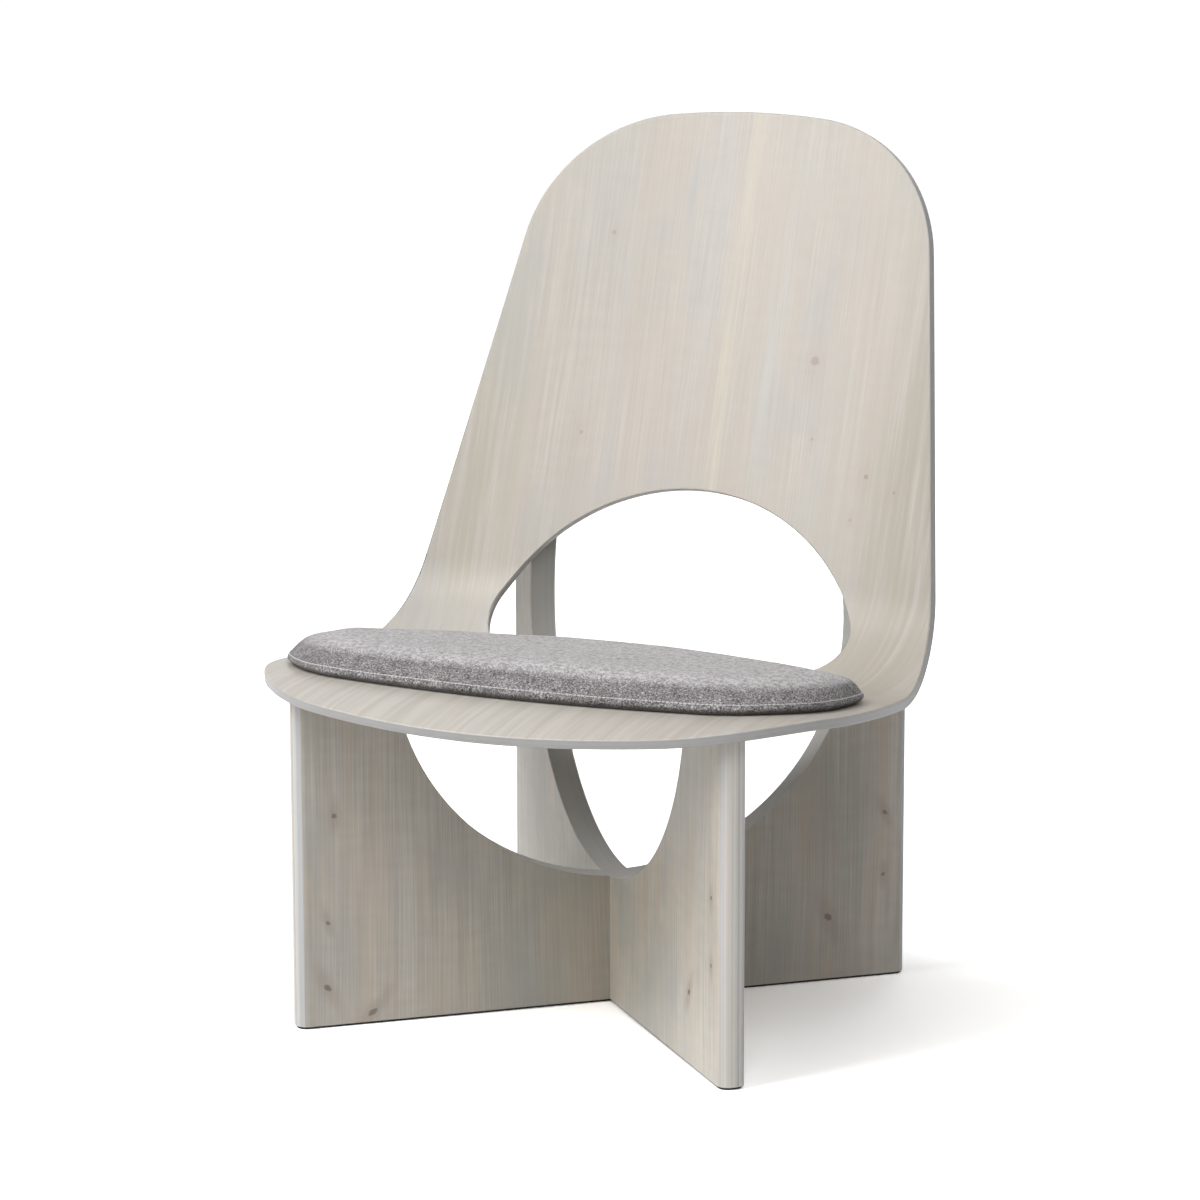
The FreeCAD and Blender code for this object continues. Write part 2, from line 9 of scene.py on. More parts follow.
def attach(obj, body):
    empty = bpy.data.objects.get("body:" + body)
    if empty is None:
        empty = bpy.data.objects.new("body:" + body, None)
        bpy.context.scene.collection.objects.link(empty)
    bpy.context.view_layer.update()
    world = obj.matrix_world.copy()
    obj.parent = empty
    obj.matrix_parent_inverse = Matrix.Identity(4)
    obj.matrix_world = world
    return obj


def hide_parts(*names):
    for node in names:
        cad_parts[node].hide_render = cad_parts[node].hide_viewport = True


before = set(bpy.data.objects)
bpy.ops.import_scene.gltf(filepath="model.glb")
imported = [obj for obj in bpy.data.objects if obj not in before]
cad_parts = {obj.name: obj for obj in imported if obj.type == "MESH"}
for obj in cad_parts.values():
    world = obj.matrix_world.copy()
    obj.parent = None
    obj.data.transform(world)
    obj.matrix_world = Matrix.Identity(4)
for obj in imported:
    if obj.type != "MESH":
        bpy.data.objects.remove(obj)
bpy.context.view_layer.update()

# Lounge chair in metres: front at -Y, the viewer's right at +X, the floor at z = 0
scene = bpy.context.scene
sideways = Vector((1, 0, 0))
upright = Vector((0, 0, 1))
print("frame loaded,", len(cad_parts), "nodes")


def addObject(name, data):
    item = bpy.data.objects.new(name, data)
    scene.collection.objects.link(item)
    return item


def newMesh(name, vertices, faces):
    mesh = bpy.data.meshes.new(name)
    mesh.from_pydata(vertices, [], faces)
    mesh.shade_smooth()
    return mesh


def joinRows(first, second, count):
    # Faces between two closed rows of vertices, given the number of the first vertex of each
    faces = []
    for index in range(count):
        ahead = (index + 1) % count
        faces.append((first + index, first + ahead, second + ahead, second + index))
    return faces


# Camera at the photograph's viewing angle
camera = {
    "place": (1.81338, -3.67055, 1.16957),
    "turn": 26.53884,      # degrees round the upright, from straight in front
    "down": 10.57040,
    "roll": -0.12660,
    "lens": 126.494,
    "sensor": 36.0,
    "reach": 50,
}


def makeCamera():
    turn, down, roll = (math.radians(camera[key]) for key in ("turn", "down", "roll"))
    right = Vector((math.cos(turn), math.sin(turn), 0))
    level = Vector((-math.sin(turn), math.cos(turn), 0))
    ahead = level * math.cos(down) - upright * math.sin(down)
    above = level * math.sin(down) + upright * math.cos(down)
    side = right * math.cos(roll) + above * math.sin(roll)
    top = above * math.cos(roll) - right * math.sin(roll)
    data = bpy.data.cameras.new("camera")
    data.lens = camera["lens"]
    data.sensor_width = camera["sensor"]
    data.clip_end = camera["reach"]
    facing = Matrix((side, top, -ahead)).transposed().to_4x4()
    scene.camera = addObject("camera", data)
    scene.camera.matrix_world = Matrix.Translation(camera["place"]) @ facing


makeCamera()
scene.view_settings.view_transform = "Standard"
print("camera set")


# Helpers for node trees
def put(tree, value, socket):
    if isinstance(value, bpy.types.NodeSocket):
        tree.links.new(value, socket)
    elif socket.type == "RGBA":
        socket.default_value = (*value, 1)
    else:
        socket.default_value = value


def feed(tree, item, values):
    for socket, value in zip(item.inputs, values):
        put(tree, value, socket)


def feedNamed(tree, item, values):
    for name, value in values.items():
        put(tree, value, item.inputs[name])


def mathNode(tree, operation, *values, clamp=False):
    item = tree.nodes.new("ShaderNodeMath")
    item.operation = operation
    item.use_clamp = clamp
    feed(tree, item, values)
    return item.outputs[0]


def plus(tree, first, second):
    return mathNode(tree, "ADD", first, second)


def minus(tree, first, second):
    return mathNode(tree, "SUBTRACT", first, second)


def times(tree, first, second):
    return mathNode(tree, "MULTIPLY", first, second)


def lengthOf(tree, first, second):
    squares = plus(tree, mathNode(tree, "POWER", first, 2.0), mathNode(tree, "POWER", second, 2.0))
    return mathNode(tree, "SQRT", squares)


def mapRange(tree, value, low, high, toLow=0.0, toHigh=1.0, smooth=False):
    item = tree.nodes.new("ShaderNodeMapRange")
    if smooth:
        item.interpolation_type = "SMOOTHSTEP"
    feed(tree, item, (value, low, high, toLow, toHigh))
    return item.outputs[0]


def spread(tree, texture, low, high):
    # Noise keeps mostly between 0.3 and 0.7
    return mapRange(tree, texture, 0.3, 0.7, low, high)


def nearEnds(tree, value, low, high):
    # 1 below and above the two spans, 0 between them
    below = mapRange(tree, value, *low, 1.0, 0.0)
    above = mapRange(tree, value, *high, 0.0, 1.0)
    return mathNode(tree, "MAXIMUM", below, above)


def mixColour(tree, factor, first, second, blend="MIX"):
    item = tree.nodes.new("ShaderNodeMix")
    item.data_type = "RGBA"
    item.blend_type = blend
    for name, value in (("Factor_Float", factor), ("A_Color", first), ("B_Color", second)):
        put(tree, value, next(socket for socket in item.inputs if socket.identifier == name))
    return next(socket for socket in item.outputs if socket.identifier == "Result_Color")


def noiseNode(tree, vector, scale, detail=2.0, roughness=0.5, distortion=0.0):
    item = tree.nodes.new("ShaderNodeTexNoise")
    feedNamed(tree, item, {"Vector": vector, "Scale": scale, "Detail": detail,
                           "Roughness": roughness, "Distortion": distortion})
    return item.outputs["Fac"]


def randomNode(tree, number):
    item = tree.nodes.new("ShaderNodeTexWhiteNoise")
    item.noise_dimensions = "1D"
    put(tree, number, item.inputs["W"])
    return item.outputs["Value"]


def combine(tree, *values):
    item = tree.nodes.new("ShaderNodeCombineXYZ")
    feed(tree, item, values)
    return item.outputs[0]


def separate(tree, vector):
    item = tree.nodes.new("ShaderNodeSeparateXYZ")
    put(tree, vector, item.inputs[0])
    return item.outputs


def objectPlace(tree):
    return tree.nodes.new("ShaderNodeTexCoord").outputs["Object"]


def uvMap(tree, name):
    item = tree.nodes.new("ShaderNodeUVMap")
    item.uv_map = name
    return item.outputs[0]


def newGroup(name, inputs, outputs):
    group = bpy.data.node_groups.new(name, "ShaderNodeTree")
    for way, sockets in (("INPUT", inputs), ("OUTPUT", outputs)):
        for label, kind in sockets.items():
            group.interface.new_socket(label, in_out=way, socket_type="NodeSocket" + kind)
    return group, group.nodes.new("NodeGroupInput").outputs, group.nodes.new("NodeGroupOutput")


def useGroup(tree, group, **values):
    item = tree.nodes.new("ShaderNodeGroup")
    item.node_tree = group
    feedNamed(tree, item, values)
    return item.outputs


# Grain of a washed softwood veneer. X is across the grain, Z along it, Y tells the sheets apart.
def makeGrainGroup():
    tree, given, result = newGroup("washedGrain", {
        "Place": "Vector", "Strength": "Float",
        "Light": "Color", "Dark": "Color", "Warm": "Color", "Cool": "Color",
    }, {"Color": "Color", "Height": "Float", "Streaks": "Float"})
    x, y, z = separate(tree, given["Place"])
    sway = noiseNode(tree, combine(tree, x, y, times(tree, z, 0.35)), 5.0, 1.0)
    swayed = plus(tree, x, times(tree, minus(tree, sway, 0.5), 0.03))

    def stretched(share, shift):
        return combine(tree, swayed, plus(tree, y, shift), times(tree, z, share))

    bands = noiseNode(tree, stretched(0.12, 0.0), 11.0, 3.0, 0.5)
    streaks = noiseNode(tree, stretched(0.03, 1.7), 130.0, 3.0, 0.6)
    lines = noiseNode(tree, stretched(0.010, 3.1), 640.0, 2.0, 0.6)
    tint = noiseNode(tree, stretched(0.09, 5.3), 26.0, 4.0, 0.6)
    cloudPlace = combine(tree, x, plus(tree, y, 7.0), times(tree, z, 0.45))
    clouds = noiseNode(tree, cloudPlace, 12.0, 3.0, 0.6)
    ripple = noiseNode(tree, combine(tree, times(tree, x, 0.35), y, z), 90.0, 2.0)
    strength = given["Strength"]
    tone = spread(tree, bands, -0.2, 0.2)
    for texture, swing in ((streaks, 0.2), (lines, 0.34), (ripple, 0.08)):
        tone = plus(tree, tone, spread(tree, texture, -swing, swing))
    tone = mathNode(tree, "ADD", times(tree, tone, strength), 0.5, clamp=True)
    plain = mixColour(tree, tone, given["Dark"], given["Light"])
    warmth = times(tree, mapRange(tree, tint, 0.48, 0.72, 0.0, 0.6), strength)
    coolness = times(tree, mapRange(tree, clouds, 0.48, 0.72, 0.0, 0.6), strength)
    warmed = mixColour(tree, warmth, plain, given["Warm"])
    colour = mixColour(tree, coolness, warmed, given["Cool"])
    height = plus(tree, lines, times(tree, streaks, 0.5))
    feedNamed(tree, result, {"Color": colour, "Height": height, "Streaks": streaks})
    return tree


# One small knot: a dark core in a soft halo that is longer along the grain
def makeKnotGroup():
    tree, given, result = newGroup("smallKnot", {
        "Place": "Vector", "Centre": "Vector", "Size": "Float", "Lean": "Float",
    }, {"Core": "Float", "Halo": "Float"})
    wobble = times(tree, minus(tree, noiseNode(tree, given["Place"], 260.0), 0.5), 0.004)
    x, y, z = separate(tree, given["Place"])
    centreX, centreY, centreZ = separate(tree, given["Centre"])
    across = plus(tree, minus(tree, x, centreX), wobble)
    along = minus(tree, z, centreZ)
    across = plus(tree, across, times(tree, along, given["Lean"]))
    share = mathNode(tree, "DIVIDE", lengthOf(tree, across, along), given["Size"])
    longFar = lengthOf(tree, across, times(tree, along, 0.35))
    longShare = mathNode(tree, "DIVIDE", longFar, given["Size"])
    core = mapRange(tree, share, 0.55, 1.1, 1.0, 0.0, smooth=True)
    halo = mapRange(tree, longShare, 0.6, 3.2, 1.0, 0.0, smooth=True)
    feedNamed(tree, result, {"Core": core, "Halo": halo})
    return tree


# Plies of a sheet seen on its edge: tone and thin joint lines by the depth below the face
def makePlyGroup():
    tree, given, result = newGroup("plyStack", {
        "Place": "Vector", "Depth": "Float", "Plies": "Float", "Lines": "Float",
        "Light": "Color", "Dark": "Color", "Warm": "Color", "Cool": "Color",
    }, {"Color": "Color", "Height": "Float"})
    x, y, z = separate(tree, given["Place"])
    wander = noiseNode(tree, given["Place"], 14.0, 2.0)
    layer = times(tree, given["Depth"], given["Plies"])
    layer = plus(tree, layer, times(tree, minus(tree, wander, 0.5), 0.25))
    number = mathNode(tree, "FLOOR", layer)
    within = mathNode(tree, "FRACT", layer)
    joint = nearEnds(tree, within, (0.0, 0.16), (0.86, 1.0))
    longPlace = combine(tree, times(tree, x, 0.06), given["Depth"], times(tree, z, 0.06))
    run = noiseNode(tree, longPlace, 120.0, 3.0, 0.6)
    fine = noiseNode(tree, combine(tree, x, times(tree, y, 6.0), z), 420.0, 2.0)
    swing = times(tree, minus(tree, randomNode(tree, number), 0.5), given["Lines"])
    fibres = plus(tree, times(tree, plus(tree, run, fine), 0.3), 0.2)
    tone = plus(tree, times(tree, swing, 0.8), fibres)
    plain = mixColour(tree, tone, given["Dark"], given["Light"])
    lined = times(tree, joint, given["Lines"])
    warmth = mapRange(tree, times(tree, lined, run), 0.2, 0.55, 0.0, 0.8)
    hue = mapRange(tree, randomNode(tree, plus(tree, number, 40.5)), 0.5, 1.0, 0.0, 0.8)
    coolness = times(tree, hue, given["Lines"])
    cooled = mixColour(tree, coolness, plain, given["Cool"])
    colour = mixColour(tree, warmth, cooled, given["Warm"])
    height = minus(tree, times(tree, fine, 0.4), joint)
    feedNamed(tree, result, {"Color": colour, "Height": height})
    return tree


# A long soft mark with streaky sides, used for stains and for painted highlights
def makeStainAndHighlightGroup():
    tree, given, result = newGroup("longStainAndHighlight", {
        "Place": "Vector", "Centre": "Vector", "Width": "Float", "Length": "Float",
    }, {"Mask": "Float"})
    x, y, z = separate(tree, given["Place"])
    centreX, centreY, centreZ = separate(tree, given["Centre"])
    broken = noiseNode(tree, combine(tree, x, y, times(tree, z, 0.04)), 110.0, 3.0, 0.6)
    across = mathNode(tree, "DIVIDE", minus(tree, x, centreX), given["Width"])
    along = mathNode(tree, "DIVIDE", minus(tree, z, centreZ), given["Length"])
    soft = mapRange(tree, lengthOf(tree, across, along), 0.1, 1.6, 1.0, 0.0, smooth=True)
    feedNamed(tree, result, {"Mask": times(tree, soft, mapRange(tree, broken, 0.35, 0.6))})
    return tree


washedGrain = makeGrainGroup()
smallKnot = makeKnotGroup()
longStainAndHighlight = makeStainAndHighlightGroup()
plyStack = makePlyGroup()


def newMaterial(name):
    material = bpy.data.materials.new(name)
    material.use_nodes = True
    tree = material.node_tree
    surface = tree.nodes["Principled BSDF"]
    return material, tree, surface


def bumpNode(tree, height, strength, distance):
    item = tree.nodes.new("ShaderNodeBump")
    feedNamed(tree, item, {"Height": height, "Strength": strength, "Distance": distance})
    return item.outputs[0]


def withStainsAndHighlights(tree, colour, place, stains):
    for across, along, width, length, depth, tint in stains:
        seen = useGroup(tree, longStainAndHighlight, Place=place, Centre=(across, 0, along), Width=width, Length=length)
        colour = mixColour(tree, times(tree, seen["Mask"], depth), colour, tint)
    return colour


def withKnots(tree, colour, place, knots, look):
    for across, along, size, lean, depth in knots:
        seen = useGroup(tree, smallKnot, Place=place, Centre=(across, 0, along), Size=size, Lean=lean)
        colour = mixColour(tree, times(tree, seen["Halo"], 0.35 * depth), colour, look["knotHalo"])
        colour = mixColour(tree, times(tree, seen["Core"], 0.75 * depth), colour, look["knotCore"])
    return colour


def dress(tree, surface, colour, roughness, normal):
    feedNamed(tree, surface, {"Base Color": colour, "Roughness": roughness, "Normal": normal})


def dressWood(tree, surface, colour, height, streaks, roughness):
    uneven = spread(tree, streaks, roughness - 0.05, roughness + 0.06)
    dress(tree, surface, colour, uneven, bumpNode(tree, height, 0.25, 0.0004))


# Moulded shell
shell = {
    "thickness": 0.010,
    "seatAngle": 4.71,
    "backAngle": 18.55,
    "bendRadius": 0.1133,
    "bendSetback": 0.1103,
    "bendHeight": 0.3482,
    "dishRadius": 1.202,
    "rollRadius": 0.443,
    "rollStart": 0.203,
    "seatDepth": 0.3529,
    "seatFrontRadius": 0.644,
    "seatCornerRadius": 0.1825,
    "seatFlankRadius": 0.735,
    "waistHalfWidth": 0.2906,
    "flankAngle": 9.03,
    "shoulderRadius": 0.1665,
    "backTopRadius": 0.6835,
    "backLength": 0.4845,
    "openingRadius": 0.216,
    "openingCentre": -0.1291,
    "openingSill": -0.0967,
    "openingCornerRadius": 0.0419,
    "edgeRound": 0.0016,
    "raysAround": 480,
    "rings": 52,
    "edgeSteps": 4,
    "gridCentre": 0.055,     # how far up the back the rays start
    "solveSteps": 30,
    "halvings": 60,
}
slope = math.radians(shell["seatAngle"])
recline = math.radians(shell["backAngle"])
lean = recline - slope
seatBack = Vector((0, math.cos(slope), -math.sin(slope)))
seatUp = Vector((0, math.sin(slope), math.cos(slope)))
backUp = Vector((0, math.sin(recline), math.cos(recline)))
backOut = Vector((0, -math.cos(recline), math.sin(recline)))
bisector = (seatUp + backOut).normalized()
bendCentre = Vector((0, shell["bendSetback"], shell["bendHeight"])) + bisector * shell["bendRadius"]
seatEnd = bendCentre - seatUp * shell["bendRadius"]
dishInside = shell["dishRadius"] - shell["bendRadius"]


def bendAt(turn):
    rise = dishInside * (1 - math.cos(turn))
    seatFoot = -rise / math.cos(lean)
    backFoot = -rise * math.tan(lean)
    outOfBack = backOut * math.cos(turn) - sideways * math.sin(turn)
    centre = bendCentre + seatBack * seatFoot + sideways * (dishInside * math.sin(turn))
    return centre, outOfBack, math.acos(seatUp.dot(outOfBack)), seatFoot, backFoot


def onSheet(across, along):
    # across is measured on the dished back, along from the middle of the bend up the back
    turn = across / shell["dishRadius"]
    radius = shell["bendRadius"]
    centre, outOfBack, angle, seatFoot, backFoot = bendAt(turn)
    half = radius * angle / 2
    if along > half:
        return centre - outOfBack * radius + backUp * (along - half), outOfBack
    if along >= -half:
        part = angle / 2 + along / radius
        normal = (seatUp * math.sin(angle - part) + outOfBack * math.sin(part)) / math.sin(angle)
        return centre - normal * radius, normal
    back = seatFoot + along + half
    x = dishInside * math.sin(turn)
    if back >= -shell["rollStart"]:
        return seatEnd + seatBack * back + sideways * x, seatUp
    roll = (-shell["rollStart"] - back) / shell["rollRadius"]
    normal = seatUp * math.cos(roll) - seatBack * math.sin(roll)
    rollCentre = seatEnd - seatBack * shell["rollStart"] - seatUp * shell["rollRadius"]
    return rollCentre + normal * shell["rollRadius"] + sideways * x, normal


def fromSeat(x, back):
    # A point of the seat's outline, seen square to the seat, as (across, along)
    radius = shell["bendRadius"]
    share = 0.0
    for step in range(shell["solveSteps"]):
        turn = math.asin(x / (dishInside + radius * share))
        centre, outOfBack, angle, seatFoot, backFoot = bendAt(turn)
        share = max(0.0, (back - seatFoot) / (radius * math.cos(turn) * math.cos(lean)))
    across = turn * shell["dishRadius"]
    if share > 0:
        return across, radius * (math.asin(share * math.sin(angle)) - angle / 2)
    if back < -shell["rollStart"]:
        start, rollRadius = -shell["rollStart"], shell["rollRadius"]
        back = start - rollRadius * math.asin((start - back) / rollRadius)
    return across, back - seatFoot - radius * angle / 2


def fromBack(x, up):
    # A point of the back's outline, seen square to the back, as (across, along)
    radius = shell["bendRadius"]
    share = 1.0
    for step in range(shell["solveSteps"]):
        turn = math.asin(x / (dishInside + radius * share))
        centre, outOfBack, angle, seatFoot, backFoot = bendAt(turn)
        short = max(0.0, (backFoot - up) / (radius * math.cos(lean)))
        part = angle - math.asin(min(1.0, short * math.sin(angle)))
        share = math.sin(part) / math.sin(angle)
    across = turn * shell["dishRadius"]
    if short > 0:
        return across, radius * (part - angle / 2)
    return across, radius * angle / 2 + up - backFoot


# Outline helpers in the flat
def unitTo(start, end):
    length = math.dist(start, end)
    return ((end[0] - start[0]) / length, (end[1] - start[1]) / length)


def offFrom(centre, radius, direction):
    return (centre[0] + radius * direction[0], centre[1] + radius * direction[1])


def circlesMeet(firstCentre, firstRadius, secondCentre, secondRadius):
    distance = math.dist(firstCentre, secondCentre)
    along = (distance ** 2 + firstRadius ** 2 - secondRadius ** 2) / (2 * distance)
    off = math.sqrt(firstRadius ** 2 - along ** 2)
    direction = unitTo(firstCentre, secondCentre)
    return (firstCentre[0] + direction[0] * along - direction[1] * off,
            firstCentre[1] + direction[1] * along + direction[0] * off)


def arcPoints(centre, radius, start, end, count):
    first = math.atan2(start[1], start[0])
    sweep = math.remainder(math.atan2(end[1], end[0]) - first, 2 * math.pi)
    angles = [first + sweep * step / count for step in range(count)]
    return [offFrom(centre, radius, (math.cos(angle), math.sin(angle))) for angle in angles]


def linePoints(start, end, count):
    across, along = end[0] - start[0], end[1] - start[1]
    return [(start[0] + across * step / count, start[1] + along * step / count) for step in range(count)]


def findWaist():
    # Where the outlines of seat and back meet, on the plane that halves the bend
    acrossBend = Vector((0, bisector.z, -bisector.y))
    radius = shell["bendRadius"]
    low, high = 0.0, 1.0
    for step in range(shell["halvings"]):
        share = (low + high) / 2
        across = shell["waistHalfWidth"]
        for refine in range(shell["solveSteps"]):
            angle = bendAt(across / shell["dishRadius"])[2]
            point, normal = onSheet(across, radius * angle * (share - 0.5))
            across += shell["waistHalfWidth"] - point.x
        if (point - bendCentre).dot(acrossBend) * (seatBack.dot(acrossBend)) < 0:
            low = share
        else:
            high = share
    return (point - seatEnd).dot(seatBack), normal


def outerLoop():
    waistBack, waistNormal = findWaist()
    flank = math.radians(shell["flankAngle"])
    steepness = abs(waistNormal.dot(backOut)) / abs(waistNormal.dot(seatUp))
    seatFlank = math.atan(math.tan(flank) * steepness)
    seatFlankOut = (math.cos(seatFlank), math.sin(seatFlank))
    backFlankOut = (math.cos(flank), math.sin(flank))
    waist = (shell["waistHalfWidth"], waistBack)
    flankCentre = offFrom(waist, -shell["seatFlankRadius"], seatFlankOut)
    frontCentre = (0, shell["seatFrontRadius"] - shell["seatDepth"])
    corner = shell["seatCornerRadius"]
    cornerCentre = circlesMeet(frontCentre, shell["seatFrontRadius"] - corner,
                               flankCentre, shell["seatFlankRadius"] - corner)
    frontOut = unitTo(frontCentre, cornerCentre)
    sideOut = unitTo(flankCentre, cornerCentre)
    seatPoints = arcPoints(frontCentre, shell["seatFrontRadius"], (0, -1), frontOut, 120)
    seatPoints += arcPoints(cornerCentre, corner, frontOut, sideOut, 160)
    seatPoints += arcPoints(flankCentre, shell["seatFlankRadius"], sideOut, seatFlankOut, 100)
    topCentre = (0, shell["backLength"] - shell["backTopRadius"])
    shoulder = shell["shoulderRadius"]
    inside = offFrom((waist[0], -waist[1]), -shoulder, backFlankOut)
    alongFlank = (-backFlankOut[1], backFlankOut[0])
    offset = (inside[0] - topCentre[0], inside[1] - topCentre[1])
    shift = offset[0] * alongFlank[0] + offset[1] * alongFlank[1]
    rest = offset[0] ** 2 + offset[1] ** 2 - (shell["backTopRadius"] - shoulder) ** 2
    shoulderCentre = offFrom(inside, math.sqrt(shift ** 2 - rest) - shift, alongFlank)
    topOut = unitTo(topCentre, shoulderCentre)
    shoulderStart = offFrom(shoulderCentre, shoulder, backFlankOut)
    backPoints = linePoints((waist[0], -waist[1]), shoulderStart, 160)
    backPoints += arcPoints(shoulderCentre, shoulder, backFlankOut, topOut, 160)
    backPoints += arcPoints(topCentre, shell["backTopRadius"], topOut, (0, 1), 80)
    half = [fromSeat(*point) for point in seatPoints] + [fromBack(*point) for point in backPoints]
    return half + [fromBack(0, shell["backLength"])]


def openingLoop():
    centre = (0, shell["openingCentre"])
    sill, corner = shell["openingSill"], shell["openingCornerRadius"]
    rise = sill + corner - centre[1]
    cornerX = math.sqrt((shell["openingRadius"] - corner) ** 2 - rise ** 2)
    cornerCentre = (cornerX, sill + corner)
    outward = unitTo(centre, cornerCentre)
    points = linePoints((0, sill), (cornerX, sill), 60)
    points += arcPoints(cornerCentre, corner, (0, -1), outward, 120)
    points += arcPoints(centre, shell["openingRadius"], outward, (0, 1), 160)
    return [fromBack(*point) for point in points + [(0, centre[1] + shell["openingRadius"])]]


def loopRadius(loop, middle):
    # The distance from middle to the loop as a function of the angle from straight down
    table = [(math.atan2(across, middle - along), math.hypot(across, along - middle))
             for across, along in loop]

    def radiusAt(angle):
        if angle <= table[0][0]:
            return table[0][1]
        for (lowAngle, lowRadius), (highAngle, highRadius) in zip(table, table[1:]):
            if lowAngle <= angle <= highAngle:
                share = (angle - lowAngle) / max(highAngle - lowAngle, 1e-9)
                return lowRadius + share * (highRadius - lowRadius)
        return table[-1][1]

    return radiusAt


def boundaryFrames(points):
    # For each (across, along) of a closed row: the point, the face's normal and the way out of the sheet
    places = [onSheet(*point) for point in points]
    frames = []
    for index, (place, normal) in enumerate(places):
        following = places[(index + 1) % len(places)][0]
        before = places[index - 1][0]
        frames.append((place, normal, (following - before).cross(normal).normalized()))
    return frames


def makeShell():
    count, rings = shell["raysAround"], shell["rings"]
    thickness, edge, middle = shell["thickness"], shell["edgeRound"], shell["gridCentre"]
    outerRadius = loopRadius(outerLoop(), middle)
    openingRadius = loopRadius(openingLoop(), middle)
    radii = {}
    for index in range(count // 2 + 1):
        angle = 2 * math.pi * index / count
        radii[index] = (openingRadius(angle), outerRadius(angle))
        radii[-index % count] = radii[index]

    def loopAt(share):
        # The closed row of (across, along) at a share of the way from the opening to the outer edge
        points = []
        for index in range(count):
            inner, outer = radii[index]
            radius = inner + (outer - inner) * share
            angle = 2 * math.pi * index / count
            points.append((radius * math.sin(angle), middle - radius * math.cos(angle)))
        return points

    # Each item of a row is (place, (across, along, depth))
    def faceRow(share, sunk, depth):
        row = []
        for point in loopAt(share):
            place, normal = onSheet(*point)
            row.append((place - normal * sunk, (*point, depth)))
        return row

    def edgeRows(frames, points):
        steps = shell["edgeSteps"]
        angles = [math.pi / 2 * step / steps for step in range(steps + 1)]
        upper = [(edge * (1 - math.sin(angle)), edge * (1 - math.cos(angle))) for angle in angles]
        lower = [(sunk, thickness - inset) for inset, sunk in upper]
        return [[(place - out * inset - normal * sunk, (*point, sunk / thickness))
                 for (place, normal, out), point in zip(frames, points)]
                for inset, sunk in upper + lower]

    openingEdge, outerEdge = loopAt(0), loopAt(1)
    openingFrames = [(place, normal, -out) for place, normal, out in boundaryFrames(openingEdge)]
    shares = [(ring + 0.5) / rings for ring in range(rings)]
    rows = [faceRow(share, 0.0, 0.0) for share in shares]
    rows += edgeRows(boundaryFrames(outerEdge), outerEdge)
    rows += [faceRow(share, thickness, 1.0) for share in reversed(shares)]
    rows += edgeRows(openingFrames, openingEdge)[::-1]
    vertices = [place for row in rows for place, where in row]
    layout = [where for row in rows for place, where in row]
    faces = []
    for row in range(len(rows)):
        first = row * count
        second = (row + 1) % len(rows) * count
        faces += joinRows(first, second, count)
    mesh = newMesh("shell", vertices, faces)
    grainMap = mesh.uv_layers.new(name="grain")
    depthMap = mesh.uv_layers.new(name="depth")
    for loop in mesh.loops:
        across, along, depth = layout[loop.vertex_index]
        grainMap.data[loop.index].uv = (across, along)
        depthMap.data[loop.index].uv = (depth, 0)
    mesh.validate()
    item = addObject("mouldedShell", mesh)
    item.modifiers.new("evenShading", "WEIGHTED_NORMAL").keep_sharp = True
    return item


# Across is counted from the middle, along up the back from the middle of the bend
shellKnots = [     # (across, along, size, lean, depth)
    (0.1133, 0.3035, 0.0055, 0.0, 0.6),
    (-0.1324, 0.4269, 0.0028, 0.0, 0.5),
    (-0.1372, 0.2143, 0.0026, 0.0, 0.5),
    (0.1221, 0.2235, 0.0022, 0.0, 0.5),
    (0.1906, 0.1895, 0.0030, 0.0, 0.7),
    (0.2260, 0.1760, 0.0022, 0.0, 0.6),
    (0.1788, 0.1448, 0.0018, 0.0, 0.5),
    (-0.2050, -0.2350, 0.0024, 0.0, 0.4),
]
shellStainsAndHighlights = [    # (across, along, width, length, depth, colour)
    # Painted highlight: a broad light patch over the seat's front, where the light from above falls
    (-0.05, -0.34, 0.5, 0.24, 0.6, (0.76, 0.72, 0.655)),
    (0.013, 0.34, 0.007, 0.26, 0.6, (0.76, 0.7, 0.52)),
    # These three darken the back towards its sides, more so lower down
    (-0.222, 0.33, 0.02, 0.13, 0.5, (0.46, 0.48, 0.46)),
    (0.248, 0.34, 0.03, 0.2, 0.65, (0.42, 0.42, 0.37)),
    (0.255, 0.12, 0.06, 0.2, 1.0, (0.4, 0.355, 0.29)),
    # Painted highlight: a pale patch on the left of the bend, where the lamps above reflect
    (-0.235, -0.01, 0.06, 0.05, 0.8, (0.74, 0.74, 0.72)),
    # This one darkens the back towards its left side
    (-0.25, 0.15, 0.045, 0.18, 0.65, (0.46, 0.42, 0.34)),
    (-0.0567, 0.174, 0.007, 0.03, 0.5, (0.42, 0.46, 0.47)),
    (-0.051, 0.479, 0.006, 0.035, 0.45, (0.45, 0.48, 0.49)),
    (-0.02, 0.43, 0.012, 0.16, 0.3, (0.5, 0.53, 0.53)),
    (0.06, 0.32, 0.014, 0.16, 0.35, (0.62, 0.66, 0.64)),
    (-0.105, 0.31, 0.01, 0.16, 0.3, (0.5, 0.53, 0.52)),
    (0.15, 0.38, 0.045, 0.18, 0.45, (0.6, 0.52, 0.45)),
    (-0.06, 0.25, 0.04, 0.12, 0.3, (0.66, 0.58, 0.5)),
    # These three darken the back towards its sides, more so lower down
    (0.22, 0.22, 0.08, 0.3, 0.4, (0.55, 0.5, 0.42)),
    (-0.22, 0.2, 0.05, 0.22, 0.35, (0.54, 0.5, 0.42)),
    (0.24, 0.00, 0.06, 0.14, 0.4, (0.56, 0.52, 0.45)),
]


